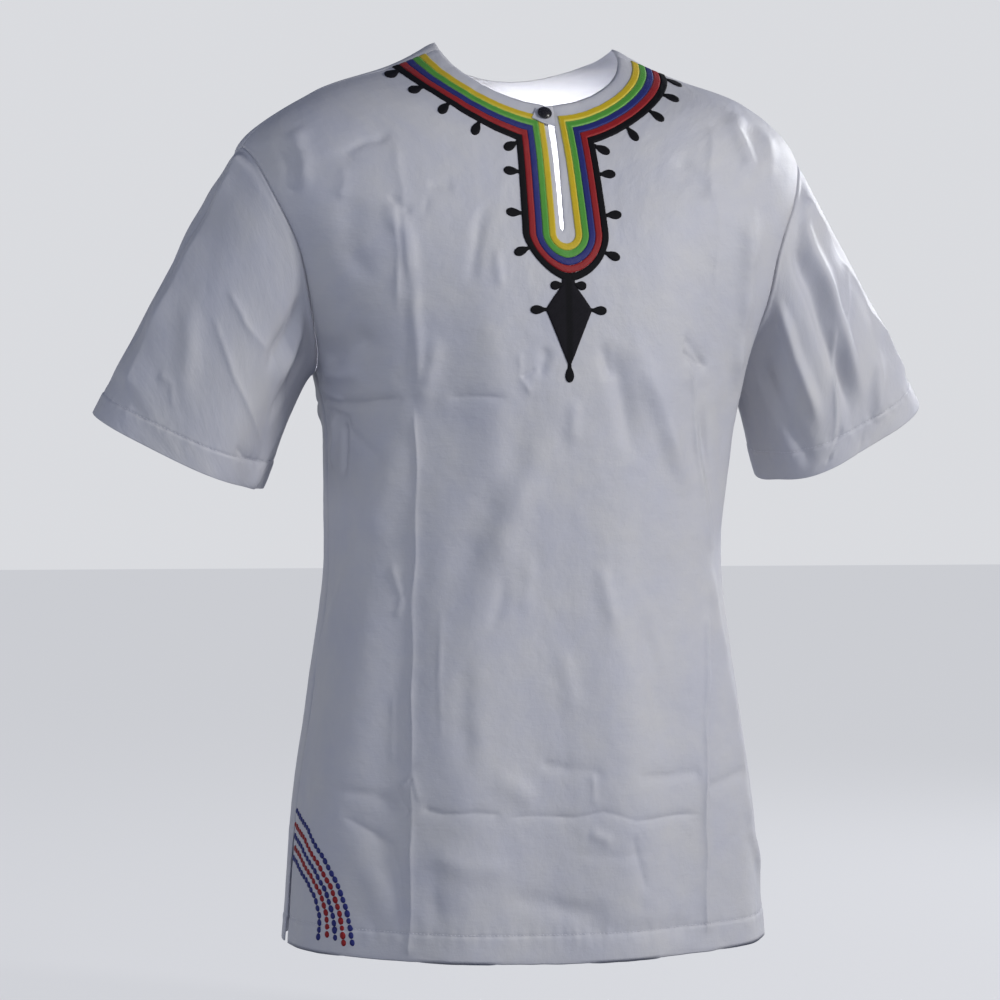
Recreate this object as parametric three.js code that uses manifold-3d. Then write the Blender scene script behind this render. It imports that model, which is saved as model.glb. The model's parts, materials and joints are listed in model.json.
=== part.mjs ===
// Embroidered tunic top in its worn form: collarless, short-sleeved, open at both sides of the hem.
// Millimetres, +Z up. The front faces -Y and the wearer's left is +X. The origin is the middle of the
// neck opening, level with the highest points of the shoulders.

import * as THREE from "three";
import { mergeVertices } from "three/addons/utils/BufferGeometryUtils.js";
import Module from "manifold-3d";

const wasm = await Module();
wasm.setup();

// Cloth, hems and seams
const CLOTH = 1.2;
const HEM_CLOTH = 2.2;
const SEAM_GAP = 0.4;
const HEM_DEPTH = 22;
const CUFF_HEM_DEPTH = 29;
const HEM_STEP = 1.5;

// The body's level sections, from the hem up. width is half of the whole width, front and back are the
// depths before and behind the side seams, and side, fore and rear are the heights at the sides, the middle
// of the front and the middle of the back.
const SECTIONS = [
  { name: "hem", width: 209, front: 150, back: 142, side: -767, fore: -773, rear: -768 },
  { name: "vent top", width: 201, front: 150, back: 141, side: -660, fore: -660, rear: -660 },
  { name: "hip", width: 186.5, front: 145, back: 138, side: -560, fore: -560, rear: -560 },
  { name: "waist", width: 172.5, front: 136, back: 127, side: -440, fore: -440, rear: -440 },
  { name: "ribs", width: 174, front: 138, back: 126, side: -340, fore: -346, rear: -346 },
  { name: "underarm", width: 184, front: 141, back: 129, side: -283, fore: -293, rear: -292 },
  { name: "armhole", width: 229, front: 138, back: 132, side: -190, fore: -222, rear: -214 },
  { name: "upper arm", width: 252, front: 131, back: 129, side: -130, fore: -180, rear: -165 },
  { name: "shoulder tip", width: 247, front: 121, back: 123, side: -97, fore: -150, rear: -127 },
  { name: "shoulder", width: 190, front: 104, back: 104, side: -47, fore: -108, rear: -72 },
  { name: "collar", width: 118, front: 87, back: 79, side: -20, fore: -78, rear: -42 },
  { name: "neck edge", width: 80, front: 75, back: 60, side: 0, fore: -60, rear: -24 },
];

// How the sections are set: dip shapes the way between a section's heights, seam is how far the side or
// shoulder seam lies forward, and lean is how far the section lies towards the wearer's left, below 0
// towards the right.
const SETTINGS = [
  { name: "hem", dip: 2, seam: 0, lean: 0 },
  { name: "underarm", dip: 2, seam: 0, lean: 0 },
  { name: "armhole", dip: 2, seam: 8, lean: -4 },
  { name: "upper arm", dip: 2, seam: 12, lean: -5 },
  { name: "shoulder tip", dip: 2, seam: 14, lean: -4 },
  { name: "shoulder", dip: 1.8, seam: 14, lean: 3 },
  { name: "collar", dip: 1.4, seam: 14, lean: 2 },
  { name: "neck edge", dip: 1.2, seam: 14, lean: 0 },
];
const SQUARENESS = 2.3;

// Rows of the panels between the named sections. Round rows crowd towards both ends of their stretch.
const ROWS = [
  { from: "hem fold", to: "vent top", rows: 4, round: false },
  { from: "vent top", to: "underarm", rows: 10, round: false },
  { from: "underarm", to: "shoulder tip", rows: 12, round: true },
  { from: "shoulder tip", to: "neck edge", rows: 11, round: false },
];
const FRONT_COLUMNS = 32;
const BACK_COLUMNS = 20;

// Armholes, side vents and the slit at the middle of the front
const ARMHOLE_BITE = THREE.MathUtils.degToRad(17);
const ARMHOLE_ROUNDNESS = 0.6;
const VENT_GAP = 13;
const SLIT_BOTTOM = -171;
const SLIT_HALF_WIDTH = { neck: 0.6, middle: 2.4, bottom: 0.8 };

// Soft upright folds. top and foot are angles from the middle of the front at the heights from and to, half
// is the half width and rise the height of the fold, below 0 for a trough. A fold that ends under the hem
// runs out of it.
const FOLDS = [
  { name: "right chest hollow", top: -38, foot: -42, from: -150, to: -420, half: 34, rise: -4 },
  { name: "right chest crease", top: -26, foot: -21, from: -170, to: -520, half: 20, rise: 2.5 },
  { name: "left chest roll", top: 66, foot: 74, from: -150, to: -420, half: 22, rise: 8 },
  { name: "left chest hollow", top: 46, foot: 48, from: -130, to: -420, half: 24, rise: -4 },
  { name: "right side roll", top: -62, foot: -74, from: -330, to: -820, half: 30, rise: 6 },
  { name: "right side hollow", top: -50, foot: -56, from: -360, to: -860, half: 26, rise: -5 },
  { name: "right front fold", top: -30, foot: -34, from: -420, to: -900, half: 26, rise: 4 },
  { name: "middle hollow", top: -8, foot: -10, from: -440, to: -900, half: 40, rise: -4 },
  { name: "left front fold", top: 16, foot: 18, from: -330, to: -900, half: 34, rise: 4 },
  { name: "left front hollow", top: 34, foot: 38, from: -420, to: -900, half: 26, rise: -4 },
  { name: "left side fold", top: 56, foot: 60, from: -360, to: -900, half: 24, rise: 5 },
  { name: "left side hollow", top: 74, foot: 78, from: -320, to: -760, half: 20, rise: -5 },
  { name: "back left roll", top: 112, foot: 118, from: -300, to: -900, half: 30, rise: 6 },
  { name: "back left hollow", top: 132, foot: 136, from: -260, to: -860, half: 30, rise: -6 },
  { name: "back left fold", top: 152, foot: 156, from: -420, to: -900, half: 28, rise: 5 },
  { name: "back hollow", top: 181, foot: 178, from: -150, to: -900, half: 44, rise: -5 },
  { name: "back right fold", top: 206, foot: 204, from: -380, to: -900, half: 30, rise: 5 },
  { name: "back right hollow", top: 228, foot: 226, from: -240, to: -840, half: 28, rise: -6 },
  { name: "back right roll", top: 248, foot: 244, from: -320, to: -900, half: 30, rise: 6 },
];
const FOLD_RADIUS = 185;

// Sleeves: the side each is on, its cuff's middle, half its size across, and the slope of the cuff
const SLEEVES = [
  { name: "sleeve_left", side: 1, out: 293, rear: 15, height: -337, across: 80, slope: 28 },
  { name: "sleeve_right", side: -1, out: 298, rear: 15, height: -351, across: 79, slope: 23 },
];
// Half of a cuff's size from front to back, and how far it looks back
const CUFF_DEEP = 60;
const CUFF_FACING = 0.24;
const SLEEVE_ROWS = 6;
const SLEEVE_TOP_WAY = new THREE.Vector3(0.56, 0.06, -0.83);
const SLEEVE_UNDERARM_WAY = new THREE.Vector3(0.9, 0.1, -0.43);
const SLEEVE_PULL = { armhole: 0.45, cuff: 0.5 };
// How much a sleeve's lines still run straight where they meet the cuff, against square to it
const SLEEVE_STRAIGHT = 0.9;
// Folds along a sleeve. around is the angle from its upper line, over its front. half is in degrees.
const SLEEVE_FOLDS = [
  { side: -1, around: 62, half: 24, rise: -4 },
  { side: -1, around: 104, half: 22, rise: 5 },
  { side: -1, around: 150, half: 20, rise: -4 },
  { side: -1, around: 236, half: 30, rise: -5 },
  { side: -1, around: 292, half: 26, rise: 4 },
  { side: 1, around: 40, half: 22, rise: 3 },
  { side: 1, around: 84, half: 22, rise: -5 },
  { side: 1, around: 124, half: 20, rise: 5 },
  { side: 1, around: 160, half: 18, rise: -4 },
  { side: 1, around: 228, half: 28, rise: 4 },
  { side: 1, around: 282, half: 28, rise: -4 },
];

// The least share of a sleeve wall's thickness that runs clear of the armhole seam
const SLEEVE_CLEAR = 0.3;

// Embroidery: bands side by side round the neck and down both sides of the slit, outwards from the slit
const BANDS = [
  { name: "embroidery_yellow", color: 0xc8aa14 },
  { name: "embroidery_green", color: 0x4a9433 },
  { name: "embroidery_blue", color: 0x20246e },
  { name: "embroidery_red", color: 0x8c1518 },
  { name: "embroidery_black", color: 0x141315 },
];
const BAND_WIDTH = 6.6;
// The gap that parts one band from the next, as a share of a band's width
const PARTING = SEAM_GAP / BAND_WIDTH;
const NECK_MARGIN = 13.4;
const PLACKET_TOP = { inner: 6.5, outer: 34 };
const PLACKET_BOTTOM = { inner: 8.3, outer: 37 };
const ARC_HEIGHT = -173;
const ARC_STRETCH = 1.08;
const BAND_ENDS = 1.6;
const STITCHES = { under: 0.6, over: 1.4 };
// How far the faces of the drops and the kite lie inside those of the black band that they are joined to
const SUNK = { drop: 0.05, kite: 0.02 };
const NECK_STATIONS = 13;
const PLACKET_STATIONS = 7;
const ARC_STATIONS = 14;

// Drops on the black band: the stretch of the band's outer edge that each one grows from, how far along that
// stretch, and the way it points, in degrees from straight sideways. Each is made on both sides of the front.
const DROPS = [
  { stretch: "neck", along: 0.1, way: -26 },
  { stretch: "neck", along: 0.36, way: -20 },
  { stretch: "neck", along: 0.55, way: -42 },
  { stretch: "neck", along: 0.745, way: -58 },
  { stretch: "placket", along: 0.04, way: -27 },
  { stretch: "placket", along: 0.36, way: 3 },
  { stretch: "placket", along: 0.8, way: 4 },
  { stretch: "arc", along: 0.28, way: -21 },
];
const DROP = { length: 13, width: 7, rootInside: 2 };
const KITE = { top: -209, neck: -216.5, shoulder: -236.5, foot: -281.5, neckHalf: 5, half: 19, toe: 1.1 };
// Drops on the kite, from their roots
const KITE_DROPS = [
  { x: 4, z: -215.5, way: -8, length: 11.5 },
  { x: 18.2, z: -236.5, way: -2, length: 14.5 },
];
const KITE_FOOT_DROP = { x: 0, z: -281, way: -90, length: 15.5 };

// Closing tab and button at the top of the slit
const TAB = { right: -17, left: 4, top: -64, bottom: -82, point: 3.5, under: 1.8, over: 2.8 };
const TAB_GRID = { rows: 4, columns: 5 };
const BUTTON = { x: -5.5, z: -70.5, diameter: 12, rise: 3.4, segments: 24 };
// Half of the button's section, from the middle of its back round to the top of its dome
const BUTTON_PROFILE = [
  { share: 0, height: 0 },
  { share: 0.9, height: 0 },
  { share: 1, height: 0.8 },
  { share: 1, height: 1.5 },
  { share: 0.86, height: 2.3 },
  { share: 0.5, height: 2.95 },
  { share: 0, height: 3.2 },
];

// Colours
const WHITE_CLOTH = 0xe4e3ea;
const BUTTON_BLACK = 0x18171a;

// How often a range is halved, and how many steps a place on the front takes from its first guess
const HALVINGS = 40;
const PLACE_STEPS = 20;
const FIRST_GUESS = { halfWidth: 160, most: 0.9 };
// How far down the cloth a place below the neck edge is looked for, as a multiple of its distance
const NECK_REACH = 3;
const NECK_PARTS = 4;

// A smooth curve through (xs, ys) that never swings past its points
function smoothCurve(xs, ys) {
  const slopes = xs.slice(1).map((x, i) => (ys[i + 1] - ys[i]) / (x - xs[i]));
  const tangents = ys.map((y, i) => {
    if (i === 0) return slopes[0];
    if (i === ys.length - 1) return slopes[i - 1];
    const product = slopes[i - 1] * slopes[i];
    return product > 0 ? (2 * product) / (slopes[i - 1] + slopes[i]) : 0;
  });
  return (x) => {
    let i = 0;
    while (i < xs.length - 2 && x > xs[i + 1]) i += 1;
    const step = xs[i + 1] - xs[i];
    const u = THREE.MathUtils.clamp((x - xs[i]) / step, 0, 1);
    return hermite(ys[i], tangents[i] * step, ys[i + 1], tangents[i + 1] * step, u);
  };
}

function hermite(start, startWay, end, endWay, u) {
  const rest = 1 - u;
  return (
    start * (1 + 2 * u) * rest * rest +
    startWay * u * rest * rest +
    end * u * u * (3 - 2 * u) -
    endWay * u * u * rest
  );
}

// Level: the mean distance up the cloth from the hem, which all heights of the body are worked out from
const sectionLevels = [0];
SECTIONS.slice(1).forEach((section, i) => {
  const below = SECTIONS[i];
  const rises = [
    Math.hypot(section.width - below.width, section.side - below.side),
    Math.hypot(section.front - below.front, section.fore - below.fore),
    Math.hypot(section.back - below.back, section.rear - below.rear),
  ];
  sectionLevels.push(sectionLevels[i] + (rises[0] + rises[1] + rises[2]) / 3);
});

function levelOf(name) {
  if (name === "hem fold") return HEM_DEPTH;
  return sectionLevels[SECTIONS.findIndex((section) => section.name === name)];
}

const shape = {};
for (const table of [SECTIONS, SETTINGS]) {
  const heights = table.map(({ name }) => levelOf(name));
  for (const column of Object.keys(table[0]).filter((key) => key !== "name")) {
    shape[column] = smoothCurve(heights, table.map((row) => row[column]));
  }
}

// A point of the body before its folds. The angle runs from the middle of the front over the wearer's left.
function plainPoint(angle, level) {
  const sine = Math.sin(angle);
  const cosine = Math.cos(angle);
  const atFront = cosine > 0;
  const depth = atFront ? shape.front(level) : shape.back(level);
  const middle = atFront ? shape.fore(level) : shape.rear(level);
  const across = (Math.abs(sine) / shape.width(level)) ** SQUARENESS;
  const along = (Math.abs(cosine) / depth) ** SQUARENESS;
  const radius = (across + along) ** (-1 / SQUARENESS);
  const side = shape.side(level);
  const height = side + (middle - side) * Math.abs(cosine) ** shape.dip(level);
  return new THREE.Vector3(radius * sine + shape.lean(level), -radius * cosine, height);
}

// How far apart points are taken to find a direction of the cloth
const LOOK = { angle: 0.004, level: 0.6 };

// The outward direction of a surface that is given as a function of angle and level
function normalOf(surface, angle, level) {
  const round = surface(angle + LOOK.angle, level).sub(surface(angle - LOOK.angle, level));
  const up = surface(angle, level + LOOK.level).sub(surface(angle, level - LOOK.level));
  return round.cross(up).normalize();
}

function foldRise(angle, height) {
  let rise = 0;
  for (const fold of FOLDS) {
    const u = (fold.from - height) / (fold.from - fold.to);
    if (u <= 0 || u >= 1) continue;
    const line = THREE.MathUtils.degToRad(fold.top + (fold.foot - fold.top) * u);
    const turn = Math.atan2(Math.sin(angle - line), Math.cos(angle - line));
    const away = (turn * FOLD_RADIUS) / fold.half;
    rise += fold.rise * Math.sin(Math.PI * u) * Math.exp(-away * away);
  }
  return rise;
}

// A point of the cloth's outer face
function clothPoint(angle, level) {
  const point = plainPoint(angle, level);
  const rise = foldRise(angle, point.z);
  return point.addScaledVector(normalOf(plainPoint, angle, level), rise);
}

const clothNormal = (angle, level) => normalOf(clothPoint, angle, level);

// A point above or, with a rise below 0, under the outer face
function raised({ angle, level }, rise) {
  return clothPoint(angle, level).addScaledVector(clothNormal(angle, level), rise);
}

// Row levels of the panels, with one row moved onto the slit's lower end
function rowLevels() {
  const levels = [0, HEM_DEPTH - HEM_STEP, HEM_DEPTH];
  for (const stretch of ROWS) {
    const start = levelOf(stretch.from);
    const end = levelOf(stretch.to);
    for (let i = 1; i <= stretch.rows; i += 1) {
      const u = i / stretch.rows;
      const share = stretch.round ? (1 - Math.cos(Math.PI * u)) / 2 : u;
      levels.push(start + (end - start) * share);
    }
  }
  const heights = levels.map((level) => Math.abs(shape.fore(level) - SLIT_BOTTOM));
  const row = heights.indexOf(Math.min(...heights));
  let low = levels[row - 1];
  let high = levels[row + 1];
  for (let i = 0; i < HALVINGS; i += 1) {
    const middle = (low + high) / 2;
    if (shape.fore(middle) < SLIT_BOTTOM) low = middle;
    else high = middle;
  }
  levels[row] = low;
  return { levels, slitRow: row };
}
const { levels, slitRow } = rowLevels();
const underarmRow = levels.findIndex((level) => level >= levelOf("underarm") - 0.01);
const tipRow = levels.findIndex((level) => level >= levelOf("shoulder tip") - 0.01);
const thickness = (row) => (levels[row] < HEM_DEPTH ? HEM_CLOTH : CLOTH);

// Angle of the side and shoulder seams, and how far a panel's edge stays back from it on either side
const seamAngle = (level) => Math.acos(shape.seam(level) / shape.width(level));

function edgeSetback(level) {
  const between = (level - levelOf("underarm")) / (levelOf("shoulder tip") - levelOf("underarm"));
  const seam = SEAM_GAP / 2 / shape.width(level);
  if (between > 0 && between < 1) {
    return Math.max(ARMHOLE_BITE * Math.sin(Math.PI * between) ** ARMHOLE_ROUNDNESS, seam);
  }
  const openness = THREE.MathUtils.clamp(1 - level / levelOf("vent top"), 0, 1);
  return seam + ((VENT_GAP / 2) * Math.sqrt(openness)) / shape.width(level);
}

const frontEdge = (level) => seamAngle(level) - edgeSetback(level);
const backEdge = (level) => seamAngle(level) + edgeSetback(level);

// Half the opening of the slit at a row
function slitHalfWidth(row) {
  const u = (row - slitRow) / (levels.length - 1 - slitRow);
  const nearNeck = THREE.MathUtils.smoothstep(u, 0.6, 1);
  const nearBottom = 1 - THREE.MathUtils.smoothstep(u, 0, 0.5);
  const { neck, middle, bottom } = SLIT_HALF_WIDTH;
  return middle + (neck - middle) * nearNeck + (bottom - middle) * nearBottom;
}

// A wall between an outer and an inner set of points, joined round every free edge of its quads
function wall(outer, inner, quads) {
  const count = outer.length;
  const triangles = [];
  const free = new Map();
  for (const quad of quads) {
    const [a, b, c, d] = quad;
    triangles.push([a, b, c], [a, c, d]);
    triangles.push([a + count, c + count, b + count], [a + count, d + count, c + count]);
    quad.forEach((start, i) => {
      const end = quad[(i + 1) % 4];
      if (!free.delete(`${end} ${start}`)) free.set(`${start} ${end}`, [start, end]);
    });
  }
  for (const [start, end] of free.values()) {
    triangles.push([end, start, start + count], [end, start + count, end + count]);
  }
  return closedGeometry([...outer, ...inner], triangles);
}

// A geometry of the points and triangles, turned so that its faces point out
function closedGeometry(points, triangles) {
  let volume = 0;
  for (const [a, b, c] of triangles) volume += points[a].dot(points[b].clone().cross(points[c]));
  const faces = volume > 0 ? triangles : triangles.map(([a, b, c]) => [a, c, b]);
  const geometry = new THREE.BufferGeometry();
  const positions = points.flatMap((point) => point.toArray());
  geometry.setAttribute("position", new THREE.Float32BufferAttribute(positions, 3));
  geometry.setIndex(faces.flat());
  geometry.computeVertexNormals();
  return geometry;
}

// A wall over a grid of outer and inner points, with its columns closed into a ring if asked
function gridWall(outerRows, innerRows, ring = false) {
  const columns = outerRows[0].length;
  const quads = [];
  for (let i = 0; i < outerRows.length - 1; i += 1) {
    for (let j = 0; j < (ring ? columns : columns - 1); j += 1) {
      const next = (j + 1) % columns;
      quads.push([i * columns + j, i * columns + next, (i + 1) * columns + next, (i + 1) * columns + j]);
    }
  }
  return wall(outerRows.flat(), innerRows.flat(), quads);
}

// The back panel, and the front with its middle column parted above the slit's lower end
function backPanel() {
  const outer = [];
  const inner = [];
  levels.forEach((level, row) => {
    const start = backEdge(level);
    const reach = 2 * (Math.PI - start);
    const angles = Array.from({ length: BACK_COLUMNS + 1 }, (_, j) => start + (reach * j) / BACK_COLUMNS);
    outer.push(angles.map((angle) => clothPoint(angle, level)));
    inner.push(angles.map((angle) => raised({ angle, level }, -thickness(row))));
  });
  return gridWall(outer, inner);
}

function frontPanel() {
  const outer = [];
  const inner = [];
  const place = new Map();
  const half = FRONT_COLUMNS / 2;
  const add = (key, angle, row, shift) => {
    const point = clothPoint(angle, levels[row]);
    point.x += shift;
    place.set(key, outer.length);
    outer.push(point);
    inner.push(point.clone().addScaledVector(clothNormal(angle, levels[row]), -thickness(row)));
  };
  levels.forEach((level, row) => {
    const edge = frontEdge(level);
    for (let j = -half; j <= half; j += 1) {
      if (j === 0 && row > slitRow) {
        add(`${row} 0 right`, 0, row, -slitHalfWidth(row));
        add(`${row} 0 left`, 0, row, slitHalfWidth(row));
      } else {
        add(`${row} ${j}`, (edge * j) / half, row, 0);
      }
    }
  });
  const at = (row, j, side) => place.get(`${row} ${j}`) ?? place.get(`${row} ${j} ${side}`);
  const quads = [];
  for (let row = 0; row < levels.length - 1; row += 1) {
    for (let j = -half; j < half; j += 1) {
      const side = j < 0 ? "right" : "left";
      quads.push([at(row, j, side), at(row, j + 1, side), at(row + 1, j + 1, side), at(row + 1, j, side)]);
    }
  }
  return wall(outer, inner, quads);
}

// The armhole's seam line on one side, from the shoulder tip down the front, under the arm and up the back
function armholeLoop(side) {
  const count = tipRow - underarmRow;
  const loop = [];
  for (let k = 0; k < 2 * count; k += 1) {
    const atFront = k < count;
    const level = levels[tipRow - (atFront ? k : 2 * count - k)];
    const onSeam = k === 0 || k === count;
    const angle = onSeam ? seamAngle(level) : atFront ? frontEdge(level) : backEdge(level);
    loop.push({ point: clothPoint(side * angle, level), normal: clothNormal(side * angle, level) });
  }
  return loop;
}

function sleeveFoldRise(side, around) {
  let rise = 0;
  for (const fold of SLEEVE_FOLDS.filter((row) => row.side === side)) {
    const turn = THREE.MathUtils.euclideanModulo(around - fold.around + 180, 360) - 180;
    rise += fold.rise * Math.exp(-((turn / fold.half) ** 2));
  }
  return rise;
}

function sleeve(cuff) {
  const { side } = cuff;
  const loop = armholeLoop(side);
  const count = loop.length;
  const centre = loop.reduce((sum, { point }) => sum.add(point), new THREE.Vector3()).divideScalar(count);
  const slope = THREE.MathUtils.degToRad(cuff.slope);
  const across = new THREE.Vector3(side * Math.cos(slope), 0, Math.sin(slope));
  const facing = new THREE.Vector3(side * Math.sin(slope), CUFF_FACING, -Math.cos(slope)).normalize();
  const deep = facing.clone().cross(across).multiplyScalar(side).normalize();
  const cuffMiddle = new THREE.Vector3(side * cuff.out, cuff.rear, cuff.height);
  const mirror = (way) => new THREE.Vector3(side * way.x, way.y, way.z);

  const columns = loop.map(({ point, normal }, k) => {
    const before = loop[(k + count - 1) % count].point;
    const after = loop[(k + 1) % count].point;
    const clear = after.clone().sub(before).cross(normal).normalize().multiplyScalar(SEAM_GAP);
    if (clear.dot(centre.clone().sub(point)) < 0) clear.negate();
    const start = point.clone().add(clear);
    const around = (2 * Math.PI * k) / count;
    const fold = sleeveFoldRise(side, THREE.MathUtils.radToDeg(around));
    const end = cuffMiddle
      .clone()
      .addScaledVector(across, (cuff.across + fold) * Math.cos(around))
      .addScaledVector(deep, (CUFF_DEEP + fold) * Math.sin(around));
    const length = start.distanceTo(end);
    const low = (1 - Math.cos(around)) / 2;
    const startWay = mirror(SLEEVE_TOP_WAY).lerp(mirror(SLEEVE_UNDERARM_WAY), low).normalize();
    startWay.multiplyScalar(length * SLEEVE_PULL.armhole);
    const straight = end.clone().sub(start).normalize();
    const endWay = facing.clone().lerp(straight, SLEEVE_STRAIGHT).normalize();
    endWay.multiplyScalar(length * SLEEVE_PULL.cuff);
    const at = (distanceShare) =>
      new THREE.Vector3(
        ...["x", "y", "z"].map((axis) =>
          hermite(start[axis], startWay[axis], end[axis], endWay[axis], distanceShare(length)),
        ),
      );
    return { at, clear: clear.normalize() };
  });

  const stitch = (length) => 1 - CUFF_HEM_DEPTH / length;
  const shares = [];
  for (let i = 0; i <= SLEEVE_ROWS; i += 1) shares.push((length) => (stitch(length) * i) / SLEEVE_ROWS);
  shares.push((length) => stitch(length) + HEM_STEP / length);
  shares.push(() => 1);
  const outer = shares.map((share) => columns.map((column) => column.at(share)));
  const inner = outer.map((row, i) =>
    row.map((point, j) => {
      const round = row[(j + 1) % count].clone().sub(row[(j + count - 1) % count]);
      const nextRow = outer[Math.min(i + 1, outer.length - 1)][j];
      const lastRow = outer[Math.max(i - 1, 0)][j];
      const inward = nextRow.clone().sub(lastRow).cross(round).normalize().multiplyScalar(side);
      const { clear } = columns[j];
      if (i === 0) inward.addScaledVector(clear, Math.max(0, SLEEVE_CLEAR - inward.dot(clear))).normalize();
      return point.clone().addScaledVector(inward, i > SLEEVE_ROWS ? HEM_CLOTH : CLOTH);
    }),
  );
  return gridWall(outer, inner, true);
}

// The angle and level of the front's point at a given x and z, found from a start by Newton steps
function frontPlace(x, z) {
  const { halfWidth, most } = FIRST_GUESS;
  let angle = Math.asin(THREE.MathUtils.clamp(x / halfWidth, -most, most));
  let level = levelOf("shoulder tip");
  for (let i = 0; i < PLACE_STEPS; i += 1) {
    const here = clothPoint(angle, level);
    const round = clothPoint(angle + LOOK.angle, level).sub(here).divideScalar(LOOK.angle);
    const up = clothPoint(angle, level + LOOK.level).sub(here).divideScalar(LOOK.level);
    const missX = x - here.x;
    const missZ = z - here.z;
    const area = round.x * up.z - round.z * up.x;
    angle += (missX * up.z - missZ * up.x) / area;
    level += (missZ * round.x - missX * round.z) / area;
  }
  return { angle, level };
}

// The place at a distance down the cloth from the neck edge
function belowNeck(angle, distance) {
  const top = levelOf("neck edge");
  let low = top - NECK_REACH * distance;
  let high = top;
  for (let i = 0; i < HALVINGS; i += 1) {
    const middle = (low + high) / 2;
    let length = 0;
    for (let part = 0; part < NECK_PARTS; part += 1) {
      const from = clothPoint(angle, top + ((middle - top) * part) / NECK_PARTS);
      const to = clothPoint(angle, top + ((middle - top) * (part + 1)) / NECK_PARTS);
      length += from.distanceTo(to);
    }
    if (length > distance) low = middle;
    else high = middle;
  }
  return { angle, level: low };
}

// The line between two bands on one side of the front, counted in bands from the yellow one's inner edge:
// along the neck from the shoulder seam, down beside the slit and round to the middle below it
function bandLine(edge, side) {
  const share = edge / BANDS.length;
  const distance = NECK_MARGIN + BAND_WIDTH * edge;
  const topHalf = THREE.MathUtils.lerp(PLACKET_TOP.inner, PLACKET_TOP.outer, share);
  const bottomHalf = THREE.MathUtils.lerp(PLACKET_BOTTOM.inner, PLACKET_BOTTOM.outer, share);

  let near = 0;
  let far = Math.PI / 2;
  for (let i = 0; i < HALVINGS; i += 1) {
    const middle = (near + far) / 2;
    const { level } = belowNeck(side * middle, distance);
    if (side * clothPoint(side * middle, level).x < topHalf) near = middle;
    else far = middle;
  }
  const corner = belowNeck(side * near, distance);
  const cornerHeight = clothPoint(corner.angle, corner.level).z;
  const seamLevel = belowNeck((side * Math.PI) / 2, distance).level;
  const start = seamAngle(seamLevel) - BAND_ENDS / shape.width(seamLevel);

  const places = [];
  for (let i = 0; i < NECK_STATIONS; i += 1) {
    const u = i / NECK_STATIONS;
    places.push(belowNeck(side * (start + (near - start) * u), distance));
  }
  for (let i = 0; i < PLACKET_STATIONS; i += 1) {
    const u = i / PLACKET_STATIONS;
    const half = THREE.MathUtils.lerp(topHalf, bottomHalf, u);
    places.push(frontPlace(side * half, THREE.MathUtils.lerp(cornerHeight, ARC_HEIGHT, u)));
  }
  const stretch = THREE.MathUtils.lerp(1, ARC_STRETCH, share);
  for (let i = 0; i <= ARC_STATIONS / 2; i += 1) {
    const turn = (Math.PI * i) / ARC_STATIONS;
    const x = side * bottomHalf * Math.cos(turn);
    places.push(frontPlace(x, ARC_HEIGHT - bottomHalf * stretch * Math.sin(turn)));
  }
  return places;
}

// The whole line, from the wearer's left shoulder to the right one
function wholeLine(edge) {
  return [...bandLine(edge, 1), ...bandLine(edge, -1).slice(0, -1).reverse()];
}

function bandGeometry(index) {
  const innerLine = wholeLine(index + PARTING);
  const outerLine = wholeLine(index + 1);
  const rows = innerLine.map((place, i) => [place, outerLine[i]]);
  return patch(rows, STITCHES.under, STITCHES.over);
}

// A thin piece that lies on the front, between two heights above it
function patch(rows, under, over) {
  const lift = (rise) => rows.map((row) => row.map((place) => raised(place, rise)));
  return gridWall(lift(over), lift(under));
}

// A drop's outline: half widths along its length, as shares of its whole width
const DROP_OUTLINE = [
  { along: 0, half: 0.13 },
  { along: 0.28, half: 0.15 },
  { along: 0.46, half: 0.36 },
  { along: 0.68, half: 0.5 },
  { along: 0.88, half: 0.38 },
  { along: 1, half: 0.12 },
];

// A drop from its root, on one side of the front
function dropGeometry({ x, z, way, length }, side) {
  const turn = THREE.MathUtils.degToRad(way);
  const ahead = { x: Math.cos(turn), z: Math.sin(turn) };
  const rows = DROP_OUTLINE.map(({ along, half }) => {
    const reach = along * length;
    return [-half, half].map((share) => {
      const offset = share * DROP.width;
      const across = side * (x + ahead.x * reach - ahead.z * offset);
      return frontPlace(across, z + ahead.z * reach + ahead.x * offset);
    });
  });
  return patch(rows, STITCHES.under + SUNK.drop, STITCHES.over - SUNK.drop);
}

// The root of a drop on the black band's outer edge
function bandRoot({ stretch, along, way }, side) {
  const edge = BANDS.length - DROP.rootInside / BAND_WIDTH;
  const places = bandLine(edge, side);
  const starts = { neck: 0, placket: NECK_STATIONS, arc: NECK_STATIONS + PLACKET_STATIONS };
  const counts = { neck: NECK_STATIONS, placket: PLACKET_STATIONS, arc: ARC_STATIONS / 2 };
  const at = starts[stretch] + along * counts[stretch];
  const row = Math.floor(at);
  const angle = THREE.MathUtils.lerp(places[row].angle, places[row + 1].angle, at - row);
  const level = THREE.MathUtils.lerp(places[row].level, places[row + 1].level, at - row);
  const { x, z } = clothPoint(angle, level);
  return { x: side * x, z, way, length: DROP.length + DROP.rootInside };
}

function kiteGeometry() {
  const outline = [
    { z: KITE.top, half: KITE.neckHalf },
    { z: KITE.neck, half: KITE.neckHalf },
    { z: KITE.shoulder, half: KITE.half },
    { z: (2 * KITE.shoulder + KITE.foot) / 3, half: (2 * KITE.half + KITE.toe) / 3 },
    { z: (KITE.shoulder + 2 * KITE.foot) / 3, half: (KITE.half + 2 * KITE.toe) / 3 },
    { z: KITE.foot, half: KITE.toe },
  ];
  const shares = [-1, -0.5, 0, 0.5, 1];
  const rows = outline.map(({ z, half }) => shares.map((share) => frontPlace(share * half, z)));
  return patch(rows, STITCHES.under + SUNK.kite, STITCHES.over - SUNK.kite);
}

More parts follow.
